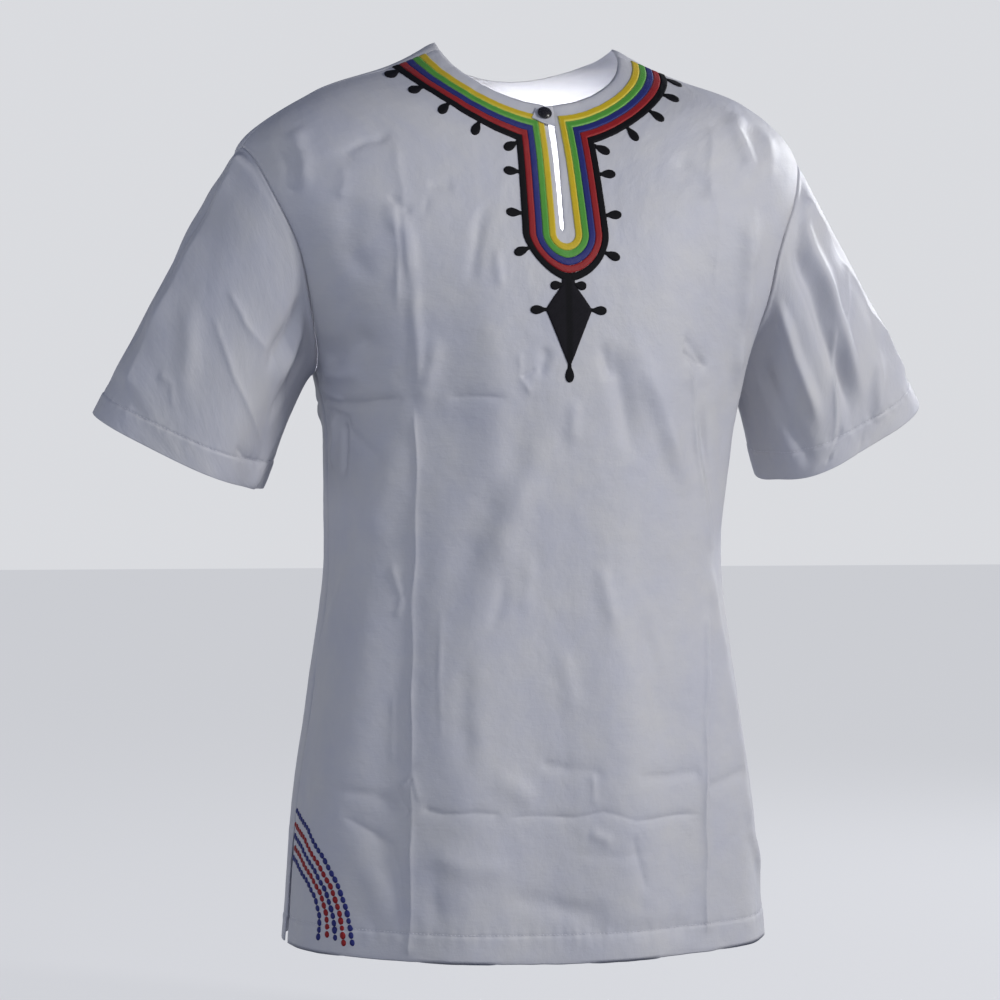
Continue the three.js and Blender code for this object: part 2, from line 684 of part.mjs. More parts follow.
// Joins closed geometries into one
function joined(geometries) {
  const solids = geometries.map((geometry) => {
    const bare = geometry.clone();
    bare.deleteAttribute("normal");
    bare.deleteAttribute("uv");
    const merged = mergeVertices(bare, 1e-4);
    return new wasm.Manifold(
      new wasm.Mesh({
        numProp: 3,
        vertProperties: new Float32Array(merged.attributes.position.array),
        triVerts: new Uint32Array(merged.index.array),
      }),
    );
  });
  const mesh = solids.reduce((sum, solid) => sum.add(solid)).getMesh();
  const geometry = new THREE.BufferGeometry();
  geometry.setAttribute("position", new THREE.BufferAttribute(mesh.vertProperties, 3));
  geometry.setIndex(new THREE.BufferAttribute(mesh.triVerts, 1));
  geometry.computeVertexNormals();
  return geometry;
}

function blackGeometry() {
  const pieces = [bandGeometry(BANDS.length - 1), kiteGeometry(), dropGeometry(KITE_FOOT_DROP, 1)];
  for (const side of [-1, 1]) {
    for (const drop of DROPS) pieces.push(dropGeometry(bandRoot(drop, side), side));
    for (const drop of KITE_DROPS) pieces.push(dropGeometry(drop, side));
  }
  return joined(pieces);
}

// The closing tab: a small four-cornered piece with one corner drawn out
function tabGeometry() {
  const { columns } = TAB_GRID;
  const rows = [];
  for (let i = 0; i < TAB_GRID.rows; i += 1) {
    const down = i / (TAB_GRID.rows - 1);
    const right = TAB.right + TAB.point * (1 - down);
    rows.push(
      Array.from({ length: columns }, (_, j) => {
        const u = j / (columns - 1);
        const x = THREE.MathUtils.lerp(right, TAB.left, u);
        const bottom = TAB.bottom + TAB.point * (1 - u);
        return frontPlace(x, THREE.MathUtils.lerp(TAB.top, bottom, down));
      }),
    );
  }
  return patch(rows, TAB.under, TAB.over);
}

// The button: a low dome, turned from its profile
function buttonMesh(material) {
  const radius = BUTTON.diameter / 2;
  const profile = BUTTON_PROFILE.map(({ share, height }) => new THREE.Vector2(radius * share, height));
  const mesh = new THREE.Mesh(new THREE.LatheGeometry(profile, BUTTON.segments), material);
  const place = frontPlace(BUTTON.x, BUTTON.z);
  mesh.position.copy(raised(place, BUTTON.rise));
  mesh.quaternion.setFromUnitVectors(new THREE.Vector3(0, 1, 0), clothNormal(place.angle, place.level));
  return mesh;
}

// The whole top
const cloth = () => new THREE.MeshStandardMaterial({ color: WHITE_CLOTH, roughness: 0.85, metalness: 0 });
const top = new THREE.Group();

function add(name, mesh) {
  mesh.name = name;
  top.add(mesh);
}

add("front", new THREE.Mesh(frontPanel(), cloth()));
add("back", new THREE.Mesh(backPanel(), cloth()));
SLEEVES.forEach((cuff) => add(cuff.name, new THREE.Mesh(sleeve(cuff), cloth())));
BANDS.forEach(({ name, color }, index) => {
  const last = index === BANDS.length - 1;
  const geometry = last ? blackGeometry() : bandGeometry(index);
  const thread = new THREE.MeshStandardMaterial({ color, roughness: 0.6, metalness: 0 });
  add(name, new THREE.Mesh(geometry, thread));
});
add("button_tab", new THREE.Mesh(tabGeometry(), cloth()));
const gloss = new THREE.MeshStandardMaterial({ color: BUTTON_BLACK, roughness: 0.3, metalness: 0 });
add("button", buttonMesh(gloss));

export default top;
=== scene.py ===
"""Embroidered tunic top in its worn form, dressed for its picture.

The cloth follows the same worn form as the part's solids. Lengths are millimetres until a mesh is made.
"""

from __future__ import annotations

import json
import logging
import math
from dataclasses import dataclass, field
from enum import Enum
from typing import Callable, Sequence

import bmesh
import bpy
import numpy as np
from mathutils import Matrix, Vector

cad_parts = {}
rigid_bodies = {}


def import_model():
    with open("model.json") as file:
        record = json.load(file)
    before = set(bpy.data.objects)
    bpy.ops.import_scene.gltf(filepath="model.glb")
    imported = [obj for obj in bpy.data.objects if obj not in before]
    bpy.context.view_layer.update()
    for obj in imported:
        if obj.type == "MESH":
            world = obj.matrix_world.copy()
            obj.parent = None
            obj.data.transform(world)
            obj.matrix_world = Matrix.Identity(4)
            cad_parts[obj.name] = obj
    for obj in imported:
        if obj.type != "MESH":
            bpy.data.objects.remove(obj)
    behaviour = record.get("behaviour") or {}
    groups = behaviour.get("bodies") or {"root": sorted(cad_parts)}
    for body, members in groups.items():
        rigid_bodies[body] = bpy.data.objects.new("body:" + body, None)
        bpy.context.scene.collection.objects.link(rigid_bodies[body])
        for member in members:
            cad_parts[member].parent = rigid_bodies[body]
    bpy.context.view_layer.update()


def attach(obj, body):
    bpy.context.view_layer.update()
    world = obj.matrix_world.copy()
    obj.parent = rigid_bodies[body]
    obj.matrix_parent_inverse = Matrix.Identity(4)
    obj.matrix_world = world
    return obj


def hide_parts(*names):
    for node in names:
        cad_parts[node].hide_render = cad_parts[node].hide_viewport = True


log = logging.getLogger("tunic")

MM = 0.001
Array = np.ndarray


def smoothstep(value: Array, low: float, high: float) -> Array:
    """Return the smooth step of a value from 0 at low to 1 at high."""
    share = np.clip((np.asarray(value, float) - low) / (high - low), 0.0, 1.0)
    return share * share * (3.0 - 2.0 * share)


def hermite(start: Array, start_way: Array, end: Array, end_way: Array, share: Array) -> Array:
    """Return the cubic between two ends that leaves and arrives along the given ways."""
    rest = 1.0 - share
    return (
        start * (1.0 + 2.0 * share) * rest * rest
        + start_way * share * rest * rest
        + end * share * share * (3.0 - 2.0 * share)
        - end_way * share * share * rest
    )


def unit(vectors: Array) -> Array:
    """Return the vectors at length one."""
    return vectors / np.maximum(np.linalg.norm(vectors, axis=-1, keepdims=True), 1e-9)


class SmoothCurve:
    """A smooth curve through points that never swings past them."""

    def __init__(self, xs: list[float], ys: list[float]) -> None:
        """Keep the points and work out the slope at each.

        Args:
            xs: Rising places of the points.
            ys: Values at those places.
        """
        self.xs = np.array(xs, float)
        self.ys = np.array(ys, float)
        slopes = np.diff(self.ys) / np.diff(self.xs)
        self.slopes = np.concatenate([slopes[:1], np.zeros(len(slopes) - 1), slopes[-1:]])
        for i in range(1, len(slopes)):
            if slopes[i - 1] * slopes[i] > 0:
                self.slopes[i] = 2 * slopes[i - 1] * slopes[i] / (slopes[i - 1] + slopes[i])

    def __call__(self, x: Array) -> Array:
        """Return the curve's values at x."""
        x = np.asarray(x, float)
        i = np.clip(np.searchsorted(self.xs, x) - 1, 0, len(self.xs) - 2)
        step = self.xs[i + 1] - self.xs[i]
        share = np.clip((x - self.xs[i]) / step, 0.0, 1.0)
        return hermite(self.ys[i], self.slopes[i] * step, self.ys[i + 1], self.slopes[i + 1] * step, share)


@dataclass(frozen=True)
class Section:
    """A level section of the body, half sizes and heights."""

    name: str
    width: float
    front: float
    back: float
    side: float
    fore: float
    rear: float


SECTIONS = [
    Section("hem", 209, 150, 142, -767, -773, -768),
    Section("vent top", 201, 150, 141, -660, -660, -660),
    Section("hip", 186.5, 145, 138, -560, -560, -560),
    Section("waist", 172.5, 136, 127, -440, -440, -440),
    Section("ribs", 174, 138, 126, -340, -346, -346),
    Section("underarm", 184, 141, 129, -283, -293, -292),
    Section("armhole", 229, 138, 132, -190, -222, -214),
    Section("upper arm", 252, 131, 129, -130, -180, -165),
    Section("shoulder tip", 247, 121, 123, -97, -150, -127),
    Section("shoulder", 190, 104, 104, -47, -108, -72),
    Section("collar", 118, 87, 79, -20, -78, -42),
    Section("neck edge", 80, 75, 60, 0, -60, -24),
]


@dataclass(frozen=True)
class Setting:
    """How a section is set: the way between its heights, its seam's shift forward and its lean."""

    name: str
    dip: float
    seam: float
    lean: float


SETTINGS = [
    Setting("hem", 2, 0, 0),
    Setting("underarm", 2, 0, 0),
    Setting("armhole", 2, 8, -4),
    Setting("upper arm", 2, 12, -5),
    Setting("shoulder tip", 2, 14, -4),
    Setting("shoulder", 1.8, 14, 3),
    Setting("collar", 1.4, 14, 2),
    Setting("neck edge", 1.2, 14, 0),
]


@dataclass(frozen=True)
class Fold:
    """A soft upright fold: angles in degrees at its upper and lower end, heights, half width and rise."""

    top: float
    foot: float
    start: float
    end: float
    half: float
    rise: float


FOLDS = [
    Fold(-38, -42, -150, -420, 34, -4),
    Fold(-26, -21, -170, -520, 20, 2.5),
    Fold(66, 74, -150, -420, 22, 8),
    Fold(46, 48, -130, -420, 24, -4),
    Fold(-62, -74, -330, -820, 30, 6),
    Fold(-50, -56, -360, -860, 26, -5),
    Fold(-30, -34, -420, -900, 26, 4),
    Fold(-8, -10, -440, -900, 40, -4),
    Fold(16, 18, -330, -900, 34, 4),
    Fold(34, 38, -420, -900, 26, -4),
    Fold(56, 60, -360, -900, 24, 5),
    Fold(74, 78, -320, -760, 20, -5),
    Fold(112, 118, -300, -900, 30, 6),
    Fold(132, 136, -260, -860, 30, -6),
    Fold(152, 156, -420, -900, 28, 5),
    Fold(181, 178, -150, -900, 44, -5),
    Fold(206, 204, -380, -900, 30, 5),
    Fold(228, 226, -240, -840, 28, -6),
    Fold(248, 244, -320, -900, 30, 6),
]


@dataclass
class WornForm:
    """The form that the body of the top keeps when it is worn."""

    squareness: float = 2.3
    fold_radius: float = 185.0
    seam_gap: float = 0.4
    armhole_bite: float = math.radians(17)
    armhole_roundness: float = 0.6
    vent_gap: float = 13.0
    look_angle: float = 0.004
    look_level: float = 0.6

    def __post_init__(self) -> None:
        """Work out the level of each section and the curves through them."""
        levels = [0.0]
        for below, above in zip(SECTIONS, SECTIONS[1:]):
            side = math.hypot(above.width - below.width, above.side - below.side)
            front = math.hypot(above.front - below.front, above.fore - below.fore)
            back = math.hypot(above.back - below.back, above.rear - below.rear)
            levels.append(levels[-1] + (side + front + back) / 3)
        self.levels = {section.name: level for section, level in zip(SECTIONS, levels)}
        for table, columns in (
            (SECTIONS, ("width", "front", "back", "side", "fore", "rear")),
            (SETTINGS, ("dip", "seam", "lean")),
        ):
            places = [self.levels[row.name] for row in table]
            for column in columns:
                setattr(self, column, SmoothCurve(places, [getattr(row, column) for row in table]))

    @property
    def top(self) -> float:
        """Return the level of the neck edge."""
        return self.levels["neck edge"]

    def plain(self, angle: Array, level: Array) -> Array:
        """Return points of the body before its folds.

        Args:
            angle: Angles from the middle of the front over the wearer's left.
            level: Distances up the cloth from the hem.

        Returns:
            The points.
        """
        sine, cosine = np.sin(angle), np.cos(angle)
        depth = np.where(cosine > 0, self.front(level), self.back(level))
        middle = np.where(cosine > 0, self.fore(level), self.rear(level))
        across = (np.abs(sine) / self.width(level)) ** self.squareness
        along = (np.abs(cosine) / depth) ** self.squareness
        radius = (across + along) ** (-1 / self.squareness)
        side = self.side(level)
        height = side + (middle - side) * np.abs(cosine) ** self.dip(level)
        return np.stack([radius * sine + self.lean(level), -radius * cosine, height], axis=-1)

    def normal_of(self, surface: Callable[[Array, Array], Array], angle: Array, level: Array) -> Array:
        """Return a surface's outward directions."""
        round_way = surface(angle + self.look_angle, level) - surface(angle - self.look_angle, level)
        up_way = surface(angle, level + self.look_level) - surface(angle, level - self.look_level)
        return unit(np.cross(round_way, up_way))

    def fold_rise(self, angle: Array, height: Array) -> Array:
        """Return the height of the soft folds."""
        rise = np.zeros(np.broadcast(angle, height).shape)
        for fold in FOLDS:
            share = np.clip((fold.start - height) / (fold.start - fold.end), 0.0, 1.0)
            line = np.radians(fold.top + (fold.foot - fold.top) * share)
            turn = np.arctan2(np.sin(angle - line), np.cos(angle - line))
            away = turn * self.fold_radius / fold.half
            rise += fold.rise * np.sin(np.pi * share) * np.exp(-away * away)
        return rise

    def cloth(self, angle: Array, level: Array) -> Array:
        """Return points of the cloth's outer face."""
        angle, level = np.broadcast_arrays(np.asarray(angle, float), np.asarray(level, float))
        point = self.plain(angle, level)
        rise = self.fold_rise(angle, point[..., 2])
        return point + self.normal_of(self.plain, angle, level) * rise[..., None]

    def normal(self, angle: Array, level: Array) -> Array:
        """Return the cloth's outward directions."""
        return self.normal_of(self.cloth, np.asarray(angle, float), np.asarray(level, float))

    def seam_angle(self, level: Array) -> Array:
        """Return the angle of the side and shoulder seams."""
        return np.arccos(self.seam(level) / self.width(level))

    def setback(self, level: Array) -> Array:
        """Return how far a panel's edge stays back from the seam's angle."""
        under, tip = self.levels["underarm"], self.levels["shoulder tip"]
        between = np.clip((level - under) / (tip - under), 0.0, 1.0)
        seam = self.seam_gap / 2 / self.width(level)
        bite = self.armhole_bite * np.sin(np.pi * between) ** self.armhole_roundness
        openness = np.clip(1 - level / self.levels["vent top"], 0.0, 1.0)
        vent = seam + self.vent_gap / 2 * np.sqrt(openness) / self.width(level)
        return np.maximum(np.nan_to_num(bite), vent)

    def place(self, x: Array, z: Array) -> tuple[Array, Array]:
        """Return the angle and level of the front's points at x and z."""
        x, z = np.broadcast_arrays(np.asarray(x, float), np.asarray(z, float))
        guess = SmoothCurve([-773, -660, -346, -150, -60], [0, 113, 430, 640, self.top])
        angle = np.arcsin(np.clip(x / 230, -0.9, 0.9))
        level = guess(z)
        for _ in range(30):
            here = self.cloth(angle, level)
            round_way = (self.cloth(angle + self.look_angle, level) - here) / self.look_angle
            up_way = (self.cloth(angle, level + self.look_level) - here) / self.look_level
            miss_x, miss_z = x - here[..., 0], z - here[..., 2]
            area = round_way[..., 0] * up_way[..., 2] - round_way[..., 2] * up_way[..., 0]
            area = np.where(np.abs(area) < 1e-3, 1e-3, area)
            turn = (miss_x * up_way[..., 2] - miss_z * up_way[..., 0]) / area
            rise = (miss_z * round_way[..., 0] - miss_x * round_way[..., 2]) / area
            angle = angle + np.clip(turn, -0.3, 0.3)
            level = np.clip(level + np.clip(rise, -60, 60), 1.0, self.top - 1.0)
        return angle, level

    def below_neck(self, angle: Array, distance: float) -> Array:
        """Return the levels at a distance down the cloth from the neck edge."""
        angle = np.asarray(angle, float)
        drops = np.linspace(0.0, 3 * distance, 61)
        points = self.cloth(angle[..., None], self.top - drops)
        steps = np.linalg.norm(np.diff(points, axis=-2), axis=-1)
        lengths = np.concatenate([np.zeros(angle.shape + (1,)), np.cumsum(steps, axis=-1)], axis=-1)
        found = [np.interp(distance, row, drops) for row in lengths.reshape(-1, len(drops))]
        return self.top - np.array(found).reshape(angle.shape)


class CreaseKind(Enum):
    """How a crease's section looks."""

    SOFT = "a rounded ridge, or a rounded trough with a rise below 0"
    PRESSED = "a sharp ridge left by folding the cloth flat"


@dataclass(frozen=True)
class Crease:
    """A crease along a line of places, each an angle in degrees and a height."""

    kind: CreaseKind
    line: tuple[tuple[float, float], ...]
    half: float
    rise: float
    ends: float = 0.25


@dataclass
class CreaseMap:
    """All creases of one piece of cloth."""

    creases: list[Crease]
    radius: float = 185.0
    wander: float = 0.7
    strength: float = 1.8

    def rise(self, angle: Array, height: Array) -> Array:
        """Return how far the creases lift the cloth.

        Args:
            angle: Angles of the points.
            height: Heights of the points.

        Returns:
            The lifts.
        """
        across = np.asarray(angle, float) * self.radius
        height = np.asarray(height, float)
        total = np.zeros(across.shape)
        for number, crease in enumerate(self.creases):
            total += self.one(crease, number, across, height)
        return total

    def one(self, crease: Crease, number: int, across: Array, height: Array) -> Array:
        """Return the lift of one crease, which wanders and swells a little along its way."""
        points = np.array([(math.radians(a) * self.radius, z) for a, z in crease.line])
        reach = 4 * crease.half + 3
        inside = (
            (across > points[:, 0].min() - reach)
            & (across < points[:, 0].max() + reach)
            & (height > points[:, 1].min() - reach)
            & (height < points[:, 1].max() + reach)
        )
        lift = np.zeros(across.shape)
        if not inside.any():
            return lift
        x, z = across[inside], height[inside]
        lengths = np.linalg.norm(np.diff(points, axis=0), axis=1)
        starts = np.concatenate([[0.0], np.cumsum(lengths)])
        best = np.full(x.shape, 1e9)
        signed = np.zeros(x.shape)
        along = np.zeros(x.shape)
        for start, end, length, run in zip(points, points[1:], lengths, starts):
            way = (end - start) / length
            share = np.clip((x - start[0]) * way[0] + (z - start[1]) * way[1], 0, length)
            off_x = x - start[0] - way[0] * share
            off_z = z - start[1] - way[1] * share
            distance = np.hypot(off_x, off_z)
            nearer = distance < best
            best = np.where(nearer, distance, best)
            side = np.sign(way[0] * off_z - way[1] * off_x)
            signed = np.where(nearer, distance * side, signed)
            along = np.where(nearer, run + share, along)
        whole = starts[-1]
        phase = 1.7 * number + 0.4
        signed = signed + self.wander * np.sin(along / 12 + phase) * np.minimum(1, crease.half / 4)
        swell = 1 + 0.22 * np.sin(along / 19 + 2 * phase) + 0.14 * np.sin(along / 7.5 + 3 * phase)
        taper = crease.ends * whole
        open_end = smoothstep(along, 0, taper) * smoothstep(whole - along, 0, taper)
        size = np.abs(signed) / crease.half
        shape = np.exp(-size * size) if crease.kind is CreaseKind.SOFT else np.exp(-size * 1.2)
        lift[inside] = self.strength * crease.rise * shape * swell * open_end
        return lift


def crumple(across: Array, up: Array, seed: float, size: float) -> Array:
    """Return soft uneven crumpling between -1 and 1.

    Args:
        across: Distances round the cloth.
        up: Distances up the cloth.
        seed: A number that moves the pattern.
        size: The pattern's rough size.

    Returns:
        The pattern's values.
    """
    total = np.zeros(np.broadcast(across, up).shape)
    for i in range(7):
        turn = seed + 2.399 * i
        way_x, way_z = math.cos(turn), math.sin(turn)
        wave = 2 * math.pi / (size * (0.7 + 0.23 * i))
        bend = 1.3 * np.sin((across * way_z - up * way_x) * wave * 0.37 + turn * 3)
        total += np.sin((across * way_x + up * way_z) * wave + bend + turn * 5)
    return total / 7


@dataclass(frozen=True)
class CottonFinish:
    """White cotton poplin with a faint weave, soft creasing and a low sheen."""

    name: str = "white cotton poplin"
    light: tuple[float, float, float] = (0.54, 0.54, 0.565)
    shade: tuple[float, float, float] = (0.495, 0.503, 0.565)
    rough: float = 0.56
    sheen: float = 0.05
    sheen_rough: float = 0.4
    gloss: float = 0.45
    relief: float = 0.0009

    def build(self) -> bpy.types.Material:
        """Return the material, made once."""
        made = bpy.data.materials.get(self.name)
        if made:
            return made
        nodes = Nodes(self.name)
        weave_map = nodes.add("ShaderNodeUVMap", uv_map="cloth")
        tint = nodes.noise(weave_map.outputs[0], 16.0, 5.0, 0.6)
        ramp = nodes.ramp(tint.outputs[0], 0.35, 0.65)
        nodes.blend(ramp.outputs[0], self.shade, self.light)
        height = nodes.weave_height(weave_map.outputs[0])
        nodes.bump(height, 0.5, self.relief)
        nodes.set(Roughness=self.rough, Sheen_Weight=self.sheen, Sheen_Roughness=self.sheen_rough)
        nodes.set(Specular_IOR_Level=self.gloss)
        return nodes.material


@dataclass(frozen=True)
class ThreadFinish:
    """Embroidery thread laid in close satin stitches."""

    name: str
    colour: tuple[float, float, float]
    edge: tuple[float, float, float]
    rough: float = 0.5
    sheen: float = 0.04
    gloss: float = 0.3
    stitch_width: float = 0.0011
    relief: float = 0.00035

    def build(self) -> bpy.types.Material:
        """Return the material, made once."""
        made = bpy.data.materials.get(self.name)
        if made:
            return made
        nodes = Nodes(self.name)
        way = nodes.add("ShaderNodeUVMap", uv_map="thread")
        split = nodes.add("ShaderNodeSeparateXYZ")
        nodes.link(way.outputs[0], split.inputs[0])
        lean = nodes.math("MULTIPLY_ADD", split.outputs[0], 0.35, split.outputs[1])
        stitch = nodes.math("SINE", nodes.math("MULTIPLY", lean, 2 * math.pi / self.stitch_width))
        grain = nodes.noise(way.outputs[0], 900.0, 2.0, 0.6)
        height = nodes.math("ADD", nodes.math("MULTIPLY", stitch, 0.35), grain.outputs[0])
        nodes.bump(height, 0.5, self.relief)
        off = nodes.math("ABSOLUTE", split.outputs[0])
        rim = nodes.math("SMOOTH_MIN", nodes.math("MULTIPLY", off, 330.0), 1.0)
        rim = nodes.math("POWER", rim, 4.0)
        mottle = nodes.noise(way.outputs[0], 260.0, 2.0, 0.5)
        amount = nodes.math("MULTIPLY", rim, nodes.math("ADD", mottle.outputs[0], 0.25))
        nodes.blend(amount, self.colour, self.edge)
        nodes.set(Roughness=self.rough, Sheen_Weight=self.sheen, Specular_IOR_Level=self.gloss)
        return nodes.material


@dataclass(frozen=True)
class PolishFinish:
    """Moulded black button plastic with fine rubbing marks."""

    name: str = "black button plastic"
    colour: tuple[float, float, float] = (0.012, 0.011, 0.013)
    rubbed: tuple[float, float, float] = (0.022, 0.02, 0.024)
    relief: float = 0.0002

    def build(self) -> bpy.types.Material:
        """Return the material, made once."""
        nodes = Nodes(self.name)
        place = nodes.add("ShaderNodeTexCoord")
        marks = nodes.noise(place.outputs["Object"], 900.0, 3.0, 0.6)
        ramp = nodes.ramp(marks.outputs[0], 0.3, 0.8)
        rough = nodes.math("MULTIPLY_ADD", ramp.outputs[0], 0.16, 0.2)
        nodes.link(rough, nodes.shader.inputs["Roughness"])
        nodes.blend(ramp.outputs[0], self.colour, self.rubbed)
        nodes.bump(marks.outputs[0], 0.08, self.relief)
        return nodes.material


class Nodes:
    """A material's nodes, built a few at a time."""

    def __init__(self, name: str) -> None:
        """Start a material with one principled shader."""
        self.material = bpy.data.materials.new(name)
        self.material.use_nodes = True
        self.tree = self.material.node_tree
        self.shader = self.tree.nodes["Principled BSDF"]

    def add(self, kind: str, **values: object) -> bpy.types.Node:
        """Return a new node with its settings."""
        node = self.tree.nodes.new(kind)
        for key, value in values.items():
            setattr(node, key, value)
        return node

    def link(self, start: bpy.types.NodeSocket, end: bpy.types.NodeSocket) -> None:
        """Join two sockets."""
        self.tree.links.new(start, end)

    def set(self, **values: float | tuple[float, ...]) -> None:
        """Set values on the shader's own sockets."""
        for key, value in values.items():
            self.shader.inputs[key.replace("_", " ")].default_value = value

    def blend(self, share: bpy.types.NodeSocket, first: Sequence[float], second: Sequence[float]) -> None:
        """Give the shader a colour between two, by a share from 0 to 1."""
        mix = self.add("ShaderNodeMixRGB")
        self.link(share, mix.inputs[0])
        mix.inputs[1].default_value = (*first, 1)
        mix.inputs[2].default_value = (*second, 1)
        self.link(mix.outputs[0], self.shader.inputs["Base Color"])

    def math(self, kind: str, *values: object) -> bpy.types.NodeSocket:
        """Return the result of a Math node whose inputs are sockets or numbers."""
        node = self.add("ShaderNodeMath", operation=kind)
        for socket, value in zip(node.inputs, values):
            if isinstance(value, (int, float)):
                socket.default_value = value
            else:
                self.link(value, socket)
        return node.outputs[0]

    def noise(
        self, vector: bpy.types.NodeSocket, scale: float, detail: float, rough: float
    ) -> bpy.types.Node:
        """Return a noise texture on the given vector."""
        node = self.add("ShaderNodeTexNoise")
        node.inputs["Scale"].default_value = scale
        node.inputs["Detail"].default_value = detail
        node.inputs["Roughness"].default_value = rough
        self.link(vector, node.inputs["Vector"])
        return node

    def ramp(self, value: bpy.types.NodeSocket, low: float, high: float) -> bpy.types.Node:
        """Return a ramp from black at low to white at high."""
        node = self.add("ShaderNodeValToRGB")
        node.color_ramp.elements[0].position = low
        node.color_ramp.elements[1].position = high
        self.link(value, node.inputs[0])
        return node

    def stretched(self, vector: bpy.types.NodeSocket, scale: Sequence[float]) -> bpy.types.NodeSocket:
        """Return the vector scaled by its three parts."""
        node = self.add("ShaderNodeMapping")
        node.inputs["Scale"].default_value = scale
        self.link(vector, node.inputs["Vector"])
        return node.outputs[0]

    def weave_height(self, vector: bpy.types.NodeSocket) -> bpy.types.NodeSocket:
        """Return the relief of warp, weft and soft crumpling, in shares of the bump's distance."""
        warp = self.noise(self.stretched(vector, (2600, 240, 1)), 1.0, 1.0, 0.5)
        weft = self.noise(self.stretched(vector, (240, 2600, 1)), 1.0, 1.0, 0.5)
        threads = self.math("ADD", warp.outputs[0], weft.outputs[0])
        crush = self.noise(vector, 55.0, 4.0, 0.5)
        slubs = self.noise(self.stretched(vector, (60, 420, 1)), 1.0, 2.0, 0.5)
        thick = self.math("MULTIPLY", slubs.outputs[0], 0.25)
        soft = self.math("MULTIPLY_ADD", crush.outputs[0], 2.2, thick)
        return self.math("MULTIPLY_ADD", threads, 0.12, soft)

    def bump(self, height: bpy.types.NodeSocket, strength: float, distance: float) -> None:
        """Give the shader a bump from the height."""
        node = self.add("ShaderNodeBump")
        node.inputs["Strength"].default_value = strength
        node.inputs["Distance"].default_value = distance
        self.link(height, node.inputs["Height"])
        self.link(node.outputs[0], self.shader.inputs["Normal"])


class Thread(Enum):
    """The embroidery's threads."""

    YELLOW = ThreadFinish("yellow thread", (0.56, 0.40, 0.012), (0.74, 0.66, 0.12))
    GREEN = ThreadFinish("green thread", (0.07, 0.29, 0.035), (0.24, 0.52, 0.14))
    BLUE = ThreadFinish("blue thread", (0.014, 0.02, 0.155), (0.03, 0.045, 0.21))
    RED = ThreadFinish("red thread", (0.27, 0.008, 0.011), (0.36, 0.03, 0.03))
    BLACK = ThreadFinish(
        "black thread", (0.006, 0.006, 0.0075), (0.012, 0.011, 0.015), rough=0.7, sheen=0.0, gloss=0.12
    )


@dataclass
class MeshData:
    """Points, faces and a map of a piece while it is built."""

    points: list[Array] = field(default_factory=list)
    faces: list[tuple[int, ...]] = field(default_factory=list)
    flat: list[Array] = field(default_factory=list)
    count: int = 0

    def add(self, points: Array, faces: list[tuple[int, ...]], flat: Array) -> None:
        """Add points, their faces and their places on the map."""
        self.points.append(np.asarray(points, float).reshape(-1, 3))
        self.flat.append(np.asarray(flat, float).reshape(-1, 2))
        self.faces += [tuple(i + self.count for i in face) for face in faces]
        self.count += len(self.points[-1])

    def make(self, name: str, map_name: str, finish: bpy.types.Material) -> bpy.types.Object:
        """Return the piece as a smooth object.

        Args:
            name: The object's name.
            map_name: The name of its map.
            finish: Its material.

        Returns:
            The new object.
        """
        mesh = bpy.data.meshes.new(name)
        points = np.concatenate(self.points) * MM
        mesh.from_pydata(points.tolist(), [], self.faces)
        flat = np.concatenate(self.flat) * MM
        layer = mesh.uv_layers.new(name=map_name)
        corners = np.empty(len(mesh.loops), dtype=np.int32)
        mesh.loops.foreach_get("vertex_index", corners)
        layer.data.foreach_set("uv", flat[corners].ravel())
        mesh.polygons.foreach_set("use_smooth", np.ones(len(mesh.polygons), dtype=bool))
        mesh.materials.append(finish)
        mesh.update()
        piece = bpy.data.objects.new(name, mesh)
        bpy.context.scene.collection.objects.link(piece)
        return piece


def grid_faces(rows: int, columns: int, ring: bool = False) -> list[tuple[int, ...]]:
    """Return the quads of a grid of points, with its columns closed into a ring if asked."""
    faces = []
    for i in range(rows - 1):
        for j in range(columns if ring else columns - 1):
            after = (j + 1) % columns
            low, high = i * columns, (i + 1) * columns
            faces.append((low + j, low + after, high + after, high + j))
    return faces


def give_wall(piece: bpy.types.Object, thickness: float) -> None:
    """Give a sheet its thickness, inwards from its outer face."""
    wall = piece.modifiers.new("wall", "SOLIDIFY")
    wall.thickness = thickness * MM
    wall.offset = -1
    wall.use_even_offset = False


def lowest_near(values: Array, reach: int) -> Array:
    """Return the lowest value within a few places of each place of a grid."""
    for axis in (0, 1):
        padding = [(reach, reach) if i == axis else (0, 0) for i in (0, 1)]
        padded = np.pad(values, padding, mode="edge")
        size = values.shape[axis]
        shifted = [np.take(padded, range(i, i + size), axis=axis) for i in range(2 * reach + 1)]
        values = np.min(shifted, axis=0)
    return values


